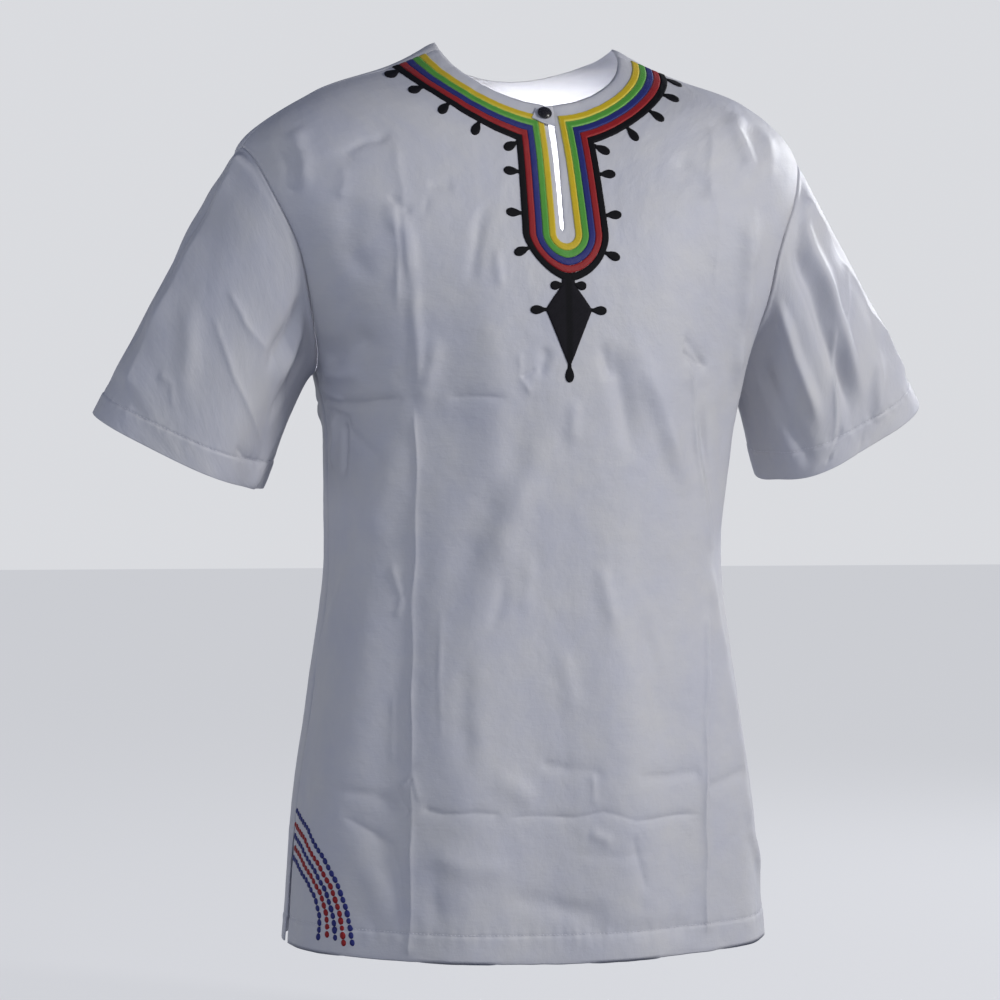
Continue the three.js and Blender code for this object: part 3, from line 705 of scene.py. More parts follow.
@dataclass
class ClothShell:
    """A closed sheet of cloth: fine quads outside, coarse faces inside and a rim between them."""

    base: Array
    out: Array
    lift: Array
    flat: Array
    ids: Array
    strips: list[tuple[int, int]]
    wall: float = 0.9
    coarse: int = 4

    def build(self, name: str, finish: bpy.types.Material) -> bpy.types.Object:
        """Return the sheet as an object.

        Args:
            name: The object's name.
            finish: The cloth's material.

        Returns:
            The sheet.
        """
        quads = self.quads()
        count = self.lift.size
        ends = np.stack([quads, np.roll(quads, -1, axis=1)], axis=-1).reshape(-1, 2)
        ahead, behind = ends[:, 0] * count + ends[:, 1], ends[:, 1] * count + ends[:, 0]
        rim = ends[~np.isin(ahead, behind)]
        edge_points = np.zeros(count, dtype=bool)
        edge_points[rim.ravel()] = True
        deeper = self.lift - lowest_near(self.lift, self.coarse)
        deeper[edge_points.reshape(self.lift.shape)] = 0
        outer = self.base + self.out * self.lift[..., None]
        inner = self.base + self.out * (self.lift - deeper - self.wall)[..., None]
        faces = [tuple(face) for face in quads.tolist()]
        faces += [(b, a, a + count, b + count) for a, b in rim.tolist()]
        faces += self.inside({(a, b) for a, b in rim.tolist()}, count)
        used = sorted({i for face in faces for i in face})
        renumber = {old: new for new, old in enumerate(used)}
        points = np.concatenate([outer.reshape(-1, 3), inner.reshape(-1, 3)])[used]
        flat = np.concatenate([self.flat.reshape(-1, 2)] * 2)[used]
        data = MeshData()
        data.add(points, [tuple(renumber[i] for i in face) for face in faces], flat)
        return data.make(name, "cloth", finish)

    def quads(self) -> Array:
        """Return the outer face's quads."""
        ids = self.ids
        parts = []
        for first, last in self.strips:
            a, b = ids[:-1, first:last], ids[:-1, first + 1:last + 1]
            c, d = ids[1:, first + 1:last + 1], ids[1:, first:last]
            parts.append(np.stack([a, b, c, d], axis=-1).reshape(-1, 4))
        return np.concatenate(parts)

    def inside(self, rim: set[tuple[int, int]], count: int) -> list[tuple[int, ...]]:
        """Return the inner faces, coarse ones that keep every point along the rim."""
        ids, step = self.ids, self.coarse
        along_rim = rim | {(b, a) for a, b in rim}
        faces = []
        for first, last in self.strips:
            for i in range(0, ids.shape[0] - 1, step):
                for j in range(first, last, step):
                    bottom = list(ids[i, j:j + step])
                    right = list(ids[i:i + step, j + step])
                    top = list(ids[i + step, j + step:j:-1])
                    left = list(ids[i + step:i:-1, j])
                    walk = [int(point) for point in bottom + right + top + left]
                    corners = set(walk[::step])
                    kept = []
                    for k, point in enumerate(walk):
                        before, after = walk[k - 1], walk[(k + 1) % len(walk)]
                        if point in corners or (before, point) in along_rim or (point, after) in along_rim:
                            kept.append(point + count)
                    faces.append(tuple(kept[::-1]))
        return faces


def turned_hem(past: Array, step: float, pucker: Array) -> Array:
    """Return the lift of a turned-up hem, its stitched groove and the puckers along the stitches.

    Args:
        past: Distances from the stitch line towards the hem's edge.
        step: How far the turned-up cloth lifts the hem.
        pucker: The puckers' rise on the stitch line.

    Returns:
        The lifts.
    """
    band = step * smoothstep(past, -0.8, 0.8)
    groove = -0.6 * np.exp(-((past / 1.5) ** 2))
    return band + groove + pucker * np.exp(-((past / 7.0) ** 2))


def through(values: Array, index: int, value: float) -> Array:
    """Return rising values stretched so that one of them takes a given value."""
    low = values[0] + (values[:index + 1] - values[0]) * (value - values[0]) / (values[index] - values[0])
    high = value + (values[index:] - values[index]) * (values[-1] - value) / (values[-1] - values[index])
    return np.concatenate([low, high[1:]])


@dataclass
class Panel:
    """A body panel: a thin sheet on the worn form, with its hem, seams and creases."""

    form: WornForm
    creases: CreaseMap
    seed: float
    rows: int
    columns: int
    close_rows: tuple[tuple[float, float], ...]
    close_columns: tuple[tuple[float, float], ...]
    hem_depth: float = 22.0
    hem_lift: float = 0.55
    pucker: float = 0.4
    crumple_rise: float = 0.48
    fine_rise: float = 0.2

    def lift(self, angle: Array, level: Array) -> Array:
        """Return how far the dressed cloth stands over the form.

        Args:
            angle: Angles of the points.
            level: Levels of the points.

        Returns:
            The lifts.
        """
        height = self.form.plain(angle, level)[..., 2]
        across = angle * self.form.fold_radius
        rise = self.creases.rise(angle, height)
        rise = rise + self.crumple_rise * crumple(across, height * 0.55, self.seed, 44)
        rise = rise + self.fine_rise * crumple(across, height, self.seed + 2, 16)
        rise = rise + self.hem(across, level)
        return rise + self.edges(angle, level)

    def hem(self, across: Array, level: Array) -> Array:
        """Return the lift of the turned-up hem, its stitched groove and its puckers."""
        wave = np.sin(across / 2.3 + 1.4 * np.sin(across / 17)) * np.sin(across / 7.7 + self.seed)
        return turned_hem(self.hem_depth - level, self.hem_lift, self.pucker * wave)

    def edges(self, angle: Array, level: Array) -> Array:
        """Return how the cloth rolls in at its seams and its neck edge."""
        away = self.edge_distance(angle, level)
        seam = -0.6 * np.exp(-((away / 2.4) ** 2)) + 0.35 * np.exp(-(((away - 6) / 3.5) ** 2))
        sewn = smoothstep(level, self.form.levels["vent top"] - 4, self.form.levels["vent top"] + 10)
        neck = -0.7 * np.exp(-(((self.form.top - level) / 1.6) ** 2))
        neck = neck + 0.25 * np.exp(-(((self.form.top - level - 6) / 3.0) ** 2))
        return seam * (0.25 + 0.75 * sewn) + neck

    def edge_distance(self, angle: Array, level: Array) -> Array:
        """Return the distances to the panel's nearer side edge."""
        raise NotImplementedError

    def shell(self, angle: Array, level: Array, ids: Array, strips: list[tuple[int, int]]) -> ClothShell:
        """Return the panel's sheet over a grid of places."""
        base, out = self.form.cloth(angle, level), self.form.normal(angle, level)
        flat = np.stack([angle * self.form.width(level), level], axis=-1)
        return ClothShell(base, out, self.lift(angle, level), flat, ids, strips)

    def dressed(self, angle: Array, level: Array, rise: Array | float = 0.0) -> Array:
        """Return points of the dressed cloth, or over it by a rise."""
        angle, level = np.broadcast_arrays(np.asarray(angle, float), np.asarray(level, float))
        point = self.form.cloth(angle, level)
        lift = self.lift(angle, level) + rise
        return point + self.form.normal(angle, level) * lift[..., None]

    @staticmethod
    def crowded(start: float, end: float, count: int, close: tuple[tuple[float, float], ...]) -> Array:
        """Return rising values that crowd round some places.

        Args:
            start: The first value.
            end: The last value.
            count: How many values there are.
            close: Places to crowd round, each with its half width.

        Returns:
            The values.
        """
        fine = np.linspace(start, end, 4001)
        weight = np.ones(len(fine))
        for place, half in close:
            weight += 1.8 * np.exp(-(((fine - place) / half) ** 2))
        run = np.concatenate([[0.0], np.cumsum((weight[1:] + weight[:-1]) / 2)])
        return np.interp(np.linspace(0, run[-1], count), run, fine)


@dataclass
class Front(Panel):
    """The front panel, with the slit cut down from its neck edge."""

    slit_bottom: float = -171.0
    slit_line: tuple[float, float] = (-2.3, 0.4)
    slit_reach: float = 45.0
    slit_pull: float = 13.0
    notch: float = 4.2

    def edge_distance(self, angle: Array, level: Array) -> Array:
        """Return the distances to the front's nearer side edge."""
        edge = self.form.seam_angle(level) - self.form.setback(level)
        return np.maximum(edge - np.abs(angle), 0) * self.form.width(level)

    def slit_level(self) -> float:
        """Return the level of the slit's lower end."""
        levels = np.linspace(0, self.form.top, 4001)
        return float(np.interp(self.slit_bottom, self.form.fore(levels), levels))

    def slit_opening(self, level: Array) -> Array:
        """Return half the width of the slit."""
        half = SmoothCurve([0, 0.3, 0.6, 0.8, 0.92, 1.0], [1.6, 1.9, 2.4, 2.6, 1.6, 0.5])
        return half(self.slit_share(level)) * np.sqrt(np.clip((level - self.slit_level()) / 4.0, 0, 1))

    def slit_share(self, level: Array) -> Array:
        """Return the shares of the way up the slit."""
        return np.clip((level - self.slit_level()) / (self.form.top - self.slit_level()), 0, 1)

    def build(self, finish: bpy.types.Material) -> bpy.types.Object:
        """Return the dressed front."""
        form = self.form
        levels = self.crowded(0, form.top, self.rows, self.close_rows)
        slit_row = 4 * round(int(np.argmin(np.abs(levels - self.slit_level()))) / 4)
        levels = through(levels, slit_row, self.slit_level())
        shares = self.crowded(-1, 1, self.columns, self.close_columns)
        middle = 4 * round(int(np.argmin(np.abs(shares))) / 4)
        shares = through(shares, middle, 0.0)
        shares = np.insert(shares, middle, 0.0)
        width = len(shares)
        sides = np.concatenate([-np.ones(middle + 1), np.ones(width - middle - 1)])
        edge = form.seam_angle(levels) - form.setback(levels)
        angle = edge[:, None] * shares[None, :]
        level = np.repeat(levels[:, None], width, axis=1)
        across = np.abs(angle) * form.width(level)
        near_top = smoothstep(level, form.top - 24, form.top)
        level = level - self.notch * np.exp(-((across / 4.2) ** 1.5)) * near_top
        foot, top = self.slit_line
        line = foot + (top - foot) * self.slit_share(level)
        shift = (line - form.lean(level)) / form.front(level)
        near_slit = smoothstep(level, self.slit_level() - 60, self.slit_level())
        angle = angle + shift * near_slit * np.exp(-((across / self.slit_reach) ** 2))
        ids = np.arange(angle.size).reshape(angle.shape)
        ids[:slit_row + 1, middle] = ids[:slit_row + 1, middle + 1]
        shell = self.shell(angle, level, ids, [(0, middle), (middle + 1, width - 1)])
        opening = self.slit_opening(level)
        shell.base[..., 0] += sides[None, :] * opening * np.exp(-across / self.slit_pull)
        shell.base[..., 1] += 0.9 * np.exp(-across / 2.0) * (opening > 0)
        return shell.build("front_cloth", finish)


@dataclass
class Back(Panel):
    """The back panel, in one piece from side seam to side seam."""

    def edge_distance(self, angle: Array, level: Array) -> Array:
        """Return the distances to the back's nearer side edge."""
        edge = self.form.seam_angle(level) + self.form.setback(level)
        away = np.minimum(angle - edge, 2 * np.pi - edge - angle)
        return np.maximum(away, 0) * self.form.width(level)

    def build(self, finish: bpy.types.Material) -> bpy.types.Object:
        """Return the dressed back."""
        form = self.form
        levels = self.crowded(0, form.top, self.rows, self.close_rows)
        shares = self.crowded(0, 1, self.columns, self.close_columns)
        start = form.seam_angle(levels) + form.setback(levels)
        angle = start[:, None] + 2 * (np.pi - start)[:, None] * shares[None, :]
        level = np.repeat(levels[:, None], len(shares), axis=1)
        ids = np.arange(angle.size).reshape(angle.shape)
        return self.shell(angle, level, ids, [(0, len(shares) - 1)]).build("back_cloth", finish)


@dataclass
class Sleeve:
    """A short sleeve from its armhole seam to its cuff."""

    form: WornForm
    side: int
    out: float
    height: float
    across: float
    slope: float
    folds: tuple[tuple[float, float, float], ...]
    creases: CreaseMap
    seed: float
    rear: float = 15.0
    deep: float = 60.0
    facing: float = 0.24
    pull: tuple[float, float] = (0.45, 0.5)
    straight: float = 0.9
    top_way: tuple[float, float, float] = (0.56, 0.06, -0.83)
    underarm_way: tuple[float, float, float] = (0.9, 0.1, -0.43)
    tuck: float = 1.3
    hem_depth: float = 29.0
    hem_lift: float = 0.6
    pucker: float = 0.45
    crumple_rise: float = 0.65
    fine_rise: float = 0.15
    usual_length: float = 210.0
    columns: int = 256
    rows: int = 153
    mean_radius: float = 72.0

    def loop(self, share: Array) -> tuple[Array, Array]:
        """Return points and outward directions of the armhole seam.

        Args:
            share: Shares of the way from the shoulder tip, down the front and up the back.

        Returns:
            The points and the body's outward directions there.
        """
        share = np.mod(share, 1.0)
        under, tip = self.form.levels["underarm"], self.form.levels["shoulder tip"]
        at_front = share < 0.5
        up = np.where(at_front, 1 - 2 * share, 2 * share - 1)
        level = under + (tip - under) * (1 - np.cos(np.pi * up)) / 2
        turn = np.where(at_front, -1, 1) * self.form.setback(level)
        angle = self.side * (self.form.seam_angle(level) + turn)
        return self.form.cloth(angle, level), self.form.normal(angle, level)

    def surface(self, share: Array, rows: Array) -> tuple[Array, Array]:
        """Return the sleeve's points before its creases.

        Args:
            share: Shares of the way round.
            rows: Shares of the way from the seam to the cuff.

        Returns:
            The points, rows first, and each column's length.
        """
        side = self.side
        point, normal = self.loop(share)
        step = 1 / 24
        before, after = self.loop(share - step)[0], self.loop(share + step)[0]
        centre = self.loop(np.arange(24) / 24)[0].mean(axis=0)
        clear = unit(np.cross(after - before, normal))
        clear *= np.where(np.sum(clear * (centre - point), axis=-1) < 0, -1, 1)[:, None]
        start = point - clear * self.tuck
        slope = math.radians(self.slope)
        across = np.array([side * math.cos(slope), 0, math.sin(slope)])
        facing = unit(np.array([side * math.sin(slope), self.facing, -math.cos(slope)]))
        deep = unit(np.cross(facing, across) * side)
        around = 2 * np.pi * share
        fold = np.zeros(len(share))
        for place, half, rise in self.folds:
            turn = np.mod(np.degrees(around) - place + 180, 360) - 180
            fold += rise * np.exp(-((turn / half) ** 2))
        middle = np.array([side * self.out, self.rear, self.height])
        end = middle + across * ((self.across + fold) * np.cos(around))[:, None]
        end = end + deep * ((self.deep + fold) * np.sin(around))[:, None]
        length = np.linalg.norm(end - start, axis=1)
        low = ((1 - np.cos(around)) / 2)[:, None]
        mirror = np.array([side, 1, 1])
        top_way, underarm_way = np.array(self.top_way) * mirror, np.array(self.underarm_way) * mirror
        start_way = unit(top_way * (1 - low) + underarm_way * low) * (length * self.pull[0])[:, None]
        straight = unit(end - start)
        end_way = unit(facing * (1 - self.straight) + straight * self.straight)
        end_way = end_way * (length * self.pull[1])[:, None]
        share_down = rows[:, None, None]
        points = hermite(start[None], start_way[None], end[None], end_way[None], share_down)
        return points, length

    def build(self, name: str, finish: bpy.types.Material) -> bpy.types.Object:
        """Return the dressed sleeve.

        Args:
            name: The object's name.
            finish: The cloth's material.

        Returns:
            The sleeve.
        """
        share = np.arange(self.columns) / self.columns
        stitch_row = 1 - self.hem_depth / self.usual_length
        rows = Panel.crowded(0, 1, self.rows, ((stitch_row, 0.04), (0.0, 0.04)))
        points, length = self.surface(share, rows)
        turn = np.degrees(2 * np.pi * share)
        flat_across = np.broadcast_to(np.radians(turn) * self.mean_radius, points.shape[:2])
        flat = np.stack([flat_across, rows[:, None] * length[None, :]], axis=-1)
        ids = np.arange(flat_across.size).reshape(flat_across.shape)
        ids = np.concatenate([ids, ids[:, :1]], axis=1)
        if self.side < 0:
            ids = ids[:, ::-1]
        out = self.outward(points)
        shell = ClothShell(points, out, self.lift(share, rows, length), flat, ids, [(0, self.columns)])
        return shell.build(name, finish)

    def outward(self, points: Array) -> Array:
        """Return the outward directions of a grid of the sleeve's points."""
        round_way = np.roll(points, -1, axis=1) - np.roll(points, 1, axis=1)
        down_way = np.gradient(points, axis=0)
        return unit(np.cross(round_way, down_way)) * self.side

    def lift(self, share: Array, rows: Array, length: Array) -> Array:
        """Return how far the creases, cuff hem and seam lift the sleeve's cloth."""
        turn = np.degrees(2 * np.pi * share)
        turn = np.where(turn > 180, turn - 360, turn)
        angle = np.broadcast_to(np.radians(turn), (len(rows), len(share)))
        down = rows[:, None] * length[None, :]
        rise = self.creases.rise(angle, -down)
        across = angle * self.mean_radius
        closing = np.sin(np.pi * share)[None, :] ** 0.35
        rise = rise + self.crumple_rise * closing * crumple(across, down, self.seed, 38)
        rise = rise + self.fine_rise * closing * crumple(across, down, self.seed + 1, 13)
        past = self.hem_depth - (length[None, :] - down)
        around = 2 * np.pi * share[None, :]
        wave = np.sin(around * 34 + 1.3 * np.sin(around * 5)) * np.sin(around * 11 + self.seed)
        hem = turned_hem(past, self.hem_lift, self.pucker * wave)
        seam = -1.5 * np.exp(-((down / 2.4) ** 2)) + 0.5 * np.exp(-(((down - 6) / 3.0) ** 2))
        return rise * smoothstep(down, 0, 10) + hem + seam

    def stitch_places(self, step: float) -> tuple[Array, Array]:
        """Return places and outward directions along the cuff's stitch line."""
        girth = 2 * math.pi * math.hypot(self.across, self.deep) / math.sqrt(2)
        count = int(girth / step)
        share = np.arange(count) / count
        length = self.surface(share, np.array([0.0]))[1]
        rows = np.linspace(0.5, 1, 120)
        grid, _ = self.surface(share, rows)
        grid = grid + self.outward(grid) * self.lift(share, rows, length)[..., None]
        line = np.abs(length[None, :] * (1 - rows[:, None]) - self.hem_depth - 1.0).argmin(axis=0)
        columns = np.arange(count)
        return grid[line, columns], self.outward(grid)[line, columns]


@dataclass
class Embroidery:
    """The bands, drops and kite stitched round the neck and the slit."""

    front: Front
    bands: int = 5
    band_width: float = 6.6
    band_margin: float = 0.014
    neck_margin: float = 13.4
    placket_top: tuple[float, float] = (6.5, 34.0)
    placket_bottom: tuple[float, float] = (8.3, 37.0)
    arc_height: float = -173.0
    arc_stretch: float = 1.08
    arc_flat: tuple[float, float] = (0.34, 0.1)
    band_ends: float = 1.6
    stations: tuple[int, int, int] = (120, 120, 60)
    pile: float = 1.3
    edge_rise: float = 0.6
    drop_length: float = 13.0
    drop_width: float = 7.6
    root_inside: float = 2.0
    lines: dict[tuple[float, int], tuple[Array, Array]] = field(default_factory=dict)

    def side_line(self, edge: float, side: int) -> tuple[Array, Array]:
        """Return the places of the line between two bands on one side of the front.

        Args:
            edge: The line's number, counted in bands from the yellow one's inner edge.
            side: 1 on the wearer's left, -1 on the right.

        Returns:
            The places' angles and levels, from the shoulder seam to the middle under the slit.
        """
        if (edge, side) in self.lines:
            return self.lines[edge, side]
        form = self.front.form
        share = edge / self.bands
        distance = self.neck_margin + self.band_width * edge
        top_half = self.placket_top[0] + (self.placket_top[1] - self.placket_top[0]) * share
        bottom_half = self.placket_bottom[0] + (self.placket_bottom[1] - self.placket_bottom[0]) * share
        tries = np.linspace(0.0, 0.9, 46)
        across = side * form.cloth(side * tries, form.below_neck(side * tries, distance))[:, 0]
        near = float(np.interp(top_half, across, tries))
        corner = form.cloth(side * near, form.below_neck(np.array(side * near), distance))
        seam_level = form.below_neck(np.array(side * np.pi / 2), distance)
        start = float(form.seam_angle(seam_level) - self.band_ends / form.width(seam_level))

        neck, placket, arc = self.stations
        angles = side * (start + (near - start) * np.arange(neck) / neck)
        neck_levels = form.below_neck(angles, distance)
        down = np.arange(placket) / placket
        half = top_half + (bottom_half - top_half) * down
        height = corner[2] + (self.arc_height - corner[2]) * down
        turn = np.pi / 2 * np.arange(arc + 1) / arc
        stretch = 1 + (self.arc_stretch - 1) * share
        flat = 1 + self.arc_flat[side > 0] * share
        x = np.concatenate([side * half, side * bottom_half * np.cos(turn) ** flat])
        z = np.concatenate([height, self.arc_height - bottom_half * stretch * np.sin(turn) ** flat])
        low_angles, low_levels = form.place(x, z)
        line = np.concatenate([angles, low_angles]), np.concatenate([neck_levels, low_levels])
        self.lines[edge, side] = line
        return line

    def whole_line(self, edge: float) -> tuple[Array, Array]:
        """Return the places of a whole line, from the left shoulder round to the right one."""
        left, right = self.side_line(edge, 1), self.side_line(edge, -1)
        return tuple(np.concatenate([a, b[:-1][::-1]]) for a, b in zip(left, right))

    def strip(self, data: MeshData, angle: Array, level: Array, pile: float, ends: bool) -> None:
        """Add a raised strip of stitches over a grid of places.

        Args:
            data: The mesh to add to.
            angle: Angles of the places, rows along the strip.
            level: Their levels.
            pile: How high the stitches stand in the middle.
            ends: Whether the strip is rounded off at both ends too.
        """
        rows, columns = angle.shape
        across = np.linspace(-1, 1, columns)
        along = np.arange(rows)
        ragged = 0.035 * np.sin(along * 1.9 + np.sin(along * 0.37) * 2) + 0.03 * np.sin(along * 0.71)
        rise = self.edge_rise + (pile - self.edge_rise) * (1 - np.abs(across[None, :]) ** 5.0) ** 0.7
        rise = rise + ragged[:, None] * 1.2
        if ends:
            run = np.linspace(-1, 1, rows)
            rise = 0.15 + (rise - 0.15) * ((1 - np.abs(run) ** 6) ** 0.5)[:, None]
        top = self.front.dressed(angle, level, rise)
        edges = [0, columns - 1]
        bottom = self.front.dressed(angle[:, edges], level[:, edges], -0.55)
        ring = np.concatenate([top, bottom[:, ::-1]], axis=1)
        middle = top[:, columns // 2]
        run = np.concatenate([[0], np.cumsum(np.linalg.norm(np.diff(middle, axis=0), axis=1))])
        width = np.linalg.norm(top - middle[:, None], axis=2) * np.sign(across)[None, :]
        flat_x = np.concatenate([width, width[:, [-1, 0]]], axis=1)
        flat_y = np.broadcast_to(run[:, None], flat_x.shape)
        count = columns + 2
        faces = grid_faces(rows, count, ring=True)
        faces.append(tuple(range(count))[::-1])
        faces.append(tuple(range((rows - 1) * count, rows * count)))
        data.add(ring, faces, np.stack([flat_x, flat_y], axis=-1))

    def band(self, index: int) -> MeshData:
        """Return the mesh of one band."""
        inner = self.whole_line(float(index))
        outer = self.whole_line(index + 1.0)
        shares = np.linspace(0, 1, 11)
        edge = np.arange(len(inner[0]))
        ragged = 0.022 * np.sin(edge * 1.31 + index) + 0.018 * np.sin(edge * 0.43 + 2 * index)
        shares = self.band_margin + (1 - 2 * self.band_margin) * shares[None, :] + 0.4 * ragged[:, None]
        angle = inner[0][:, None] + (outer[0] - inner[0])[:, None] * shares
        level = inner[1][:, None] + (outer[1] - inner[1])[:, None] * shares
        data = MeshData()
        self.strip(data, angle[:, ::-1], level[:, ::-1], self.pile, ends=False)
        return data

    def drop(self, data: MeshData, x: float, z: float, way: float, length: float, side: int) -> None:
        """Add a drop from its root.

        Args:
            data: The mesh to add to.
            x: Distance of the root from the middle.
            z: Height of the root.
            way: The way it points, in degrees up from straight sideways.
            length: Its length.
            side: The side of the front that it is on.
        """
        turn = math.radians(way)
        ahead_x, ahead_z = math.cos(turn), math.sin(turn)
        along = np.array([0, 0.1, 0.2, 0.3, 0.39, 0.48, 0.57, 0.66, 0.75, 0.84, 0.91, 0.96, 1.0])
        outline = SmoothCurve(
            [0, 0.18, 0.42, 0.66, 0.86, 0.96, 1.0], [0.2, 0.2, 0.4, 0.5, 0.4, 0.24, 0.1]
        )
        across = np.linspace(-1, 1, 9) * side
        offset = outline(along)[:, None] * self.drop_width * across[None, :]
        reach = (along * length)[:, None]
        grid_x = side * (x + ahead_x * reach - ahead_z * offset)
        grid_z = z + ahead_z * reach + ahead_x * offset
        angle, level = self.front.form.place(grid_x, grid_z)
        self.strip(data, angle[:, ::-1], level[:, ::-1], self.pile * 0.95, ends=True)

    def band_root(self, stretch: int, along: float, side: int) -> tuple[float, float]:
        """Return the x and z of a drop's root on the black band's outer edge."""
        edge = self.bands - self.root_inside / self.band_width
        angle, level = self.side_line(edge, side)
        starts = [0, self.stations[0], self.stations[0] + self.stations[1]]
        at = starts[stretch] + along * self.stations[stretch]
        numbers = np.arange(len(angle))
        point = self.front.form.cloth(np.interp(at, numbers, angle), np.interp(at, numbers, level))
        return side * float(point[0]), float(point[2])

    def kite(self, data: MeshData) -> None:
        """Add the kite under the bands."""
        heights = np.array(
            [-209, -216.5, -221, -226, -231, -235.5, -236.5, -240, -246, -254, -262, -270, -277, -281.5]
        )
        halves = np.array([5.4, 5.8, 9.2, 12.9, 16.4, 19.4, 20, 18.4, 15.9, 12.6, 9.3, 6.1, 3.2, 1.3])
        shares = np.linspace(-1, 1, 21)
        fine = np.linspace(0, len(heights) - 1, 53)
        numbers = np.arange(len(heights))
        z = np.interp(fine, numbers, heights)
        half = np.interp(fine, numbers, halves)
        across = half[:, None] * shares[None, :]
        angle, level = self.front.form.place(across, np.broadcast_to(z[:, None], across.shape))
        self.strip(data, angle[:, ::-1], level[:, ::-1], self.pile * 0.9, ends=False)

    def black(self) -> MeshData:
        """Return the mesh of the black band with its drops and the kite."""
        data = self.band(self.bands - 1)
        self.kite(data)
        neck, placket, arc = 0, 1, 2
        drops = [
            (neck, 0.1, -26),
            (neck, 0.36, -20),
            (neck, 0.55, -42),
            (neck, 0.745, -58),
            (placket, 0.04, -27),
            (placket, 0.36, 3),
            (placket, 0.8, 4),
            (arc, 0.28, -21),
        ]
        for side in (-1, 1):
            for stretch, along, way in drops:
                x, z = self.band_root(stretch, along, side)
                self.drop(data, x, z, way, self.drop_length + self.root_inside, side)
            self.drop(data, 4.0, -215.5, -8, 11.5, side)
            self.drop(data, 18.2, -236.5, -2, 14.5, side)
        self.drop(data, 0.0, -281.0, -90, 15.5, 1)
        return data


@dataclass
class HemDots:
    """Rows of small oval satin stitches that cross the wearer's right corner of the hem."""

    front: Front
    lines: tuple[tuple[Thread, tuple[tuple[float, float], ...]], ...]
    length: float = 5.9
    width: float = 4.8
    spacing: float = 6.0
    pile: float = 1.25
    edge_room: float = 3.6
    sides: int = 14

    def build(self) -> dict[str, bpy.types.Object]:
        """Return one object for each thread, by the thread's name."""
        pieces = {}
        for thread in dict.fromkeys(thread for thread, _ in self.lines):
            data = MeshData()
            for own, line in self.lines:
                if own is thread:
                    self.row(data, line)
            name = thread.name.lower()
            pieces[name] = data.make(f"hem_dots_{name}", "thread", thread.value.build())
        return pieces

    def row(self, data: MeshData, line: tuple[tuple[float, float], ...]) -> None:
        """Add the dots of one line, given by angles in degrees and heights."""
        form = self.front.form
        points = np.array([(math.radians(a), z) for a, z in line])
        levels = np.linspace(0, form.levels["hip"], 400)
        share = np.linspace(0, 1, 90)
        knots = np.linspace(0, 1, len(points))
        angle = np.interp(share, knots, points[:, 0])
        height = np.interp(share, knots, points[:, 1])
        level = np.empty(len(share))
        for i, (a, z) in enumerate(zip(angle, height)):
            level[i] = np.interp(z, form.plain(np.full(400, a), levels)[:, 2], levels)
        place = form.cloth(angle, level)
        run = np.concatenate([[0], np.cumsum(np.linalg.norm(np.diff(place, axis=0), axis=1))])
        count = int(run[-1] / self.spacing) + 1
        for at in np.arange(count) * self.spacing:
            centre = np.array([np.interp(at, run, angle), np.interp(at, run, level)])
            if self.front.edge_distance(centre[0], centre[1]) < self.edge_room:
                continue
            ahead = np.array([np.interp(at + 1.0, run, angle), np.interp(at + 1.0, run, level)])
            behind = np.array([np.interp(at - 1.0, run, angle), np.interp(at - 1.0, run, level)])
            self.dot(data, centre, ahead - behind, at)

    def dot(self, data: MeshData, centre: Array, way: Array, at: float) -> None:
        """Add one dot.

        Args:
            data: The mesh to add to.
            centre: The angle and level of its middle.
            way: The change of angle and level along the line.
            at: How far along the line it is, for its own small unevenness.
        """
        middle = self.front.dressed(centre[0], centre[1])
        ahead = self.front.dressed(centre[0] + way[0], centre[1] + way[1]) - middle
        normal = self.front.form.normal(centre[0], centre[1])
        ahead = unit(ahead - normal * np.dot(ahead, normal))
        beside = np.cross(normal, ahead)
        size = 1 + 0.07 * math.sin(at * 1.7) + 0.05 * math.sin(at * 0.61)
        sides = self.sides
        turn = np.arange(sides) / sides * 2 * np.pi
        rings = [(1.0, -0.4), (1.0, 0.12), (0.82, 0.62), (0.45, 0.92)]
        points, flat = [], []
        for share, rise in rings:
            x = np.cos(turn) * share * self.length / 2 * size
            y = np.sin(turn) * share * self.width / 2 * size
            points.append(middle + ahead * x[:, None] + beside * y[:, None] + normal * (rise * self.pile))
            flat.append(np.stack([y, x], axis=1))
        points.append((middle + normal * self.pile)[None])
        flat.append(np.zeros((1, 2)))
        points.append((middle - normal * 0.4 * self.pile)[None])
        flat.append(np.zeros((1, 2)))
        faces = grid_faces(len(rings), sides, ring=True)
        top, bottom, last = len(rings) * sides, len(rings) * sides + 1, (len(rings) - 1) * sides
        for j in range(sides):
            after = (j + 1) % sides
            faces.append((last + j, last + after, top))
            faces.append((after, j, bottom))
        data.add(np.concatenate(points), faces, np.concatenate(flat))


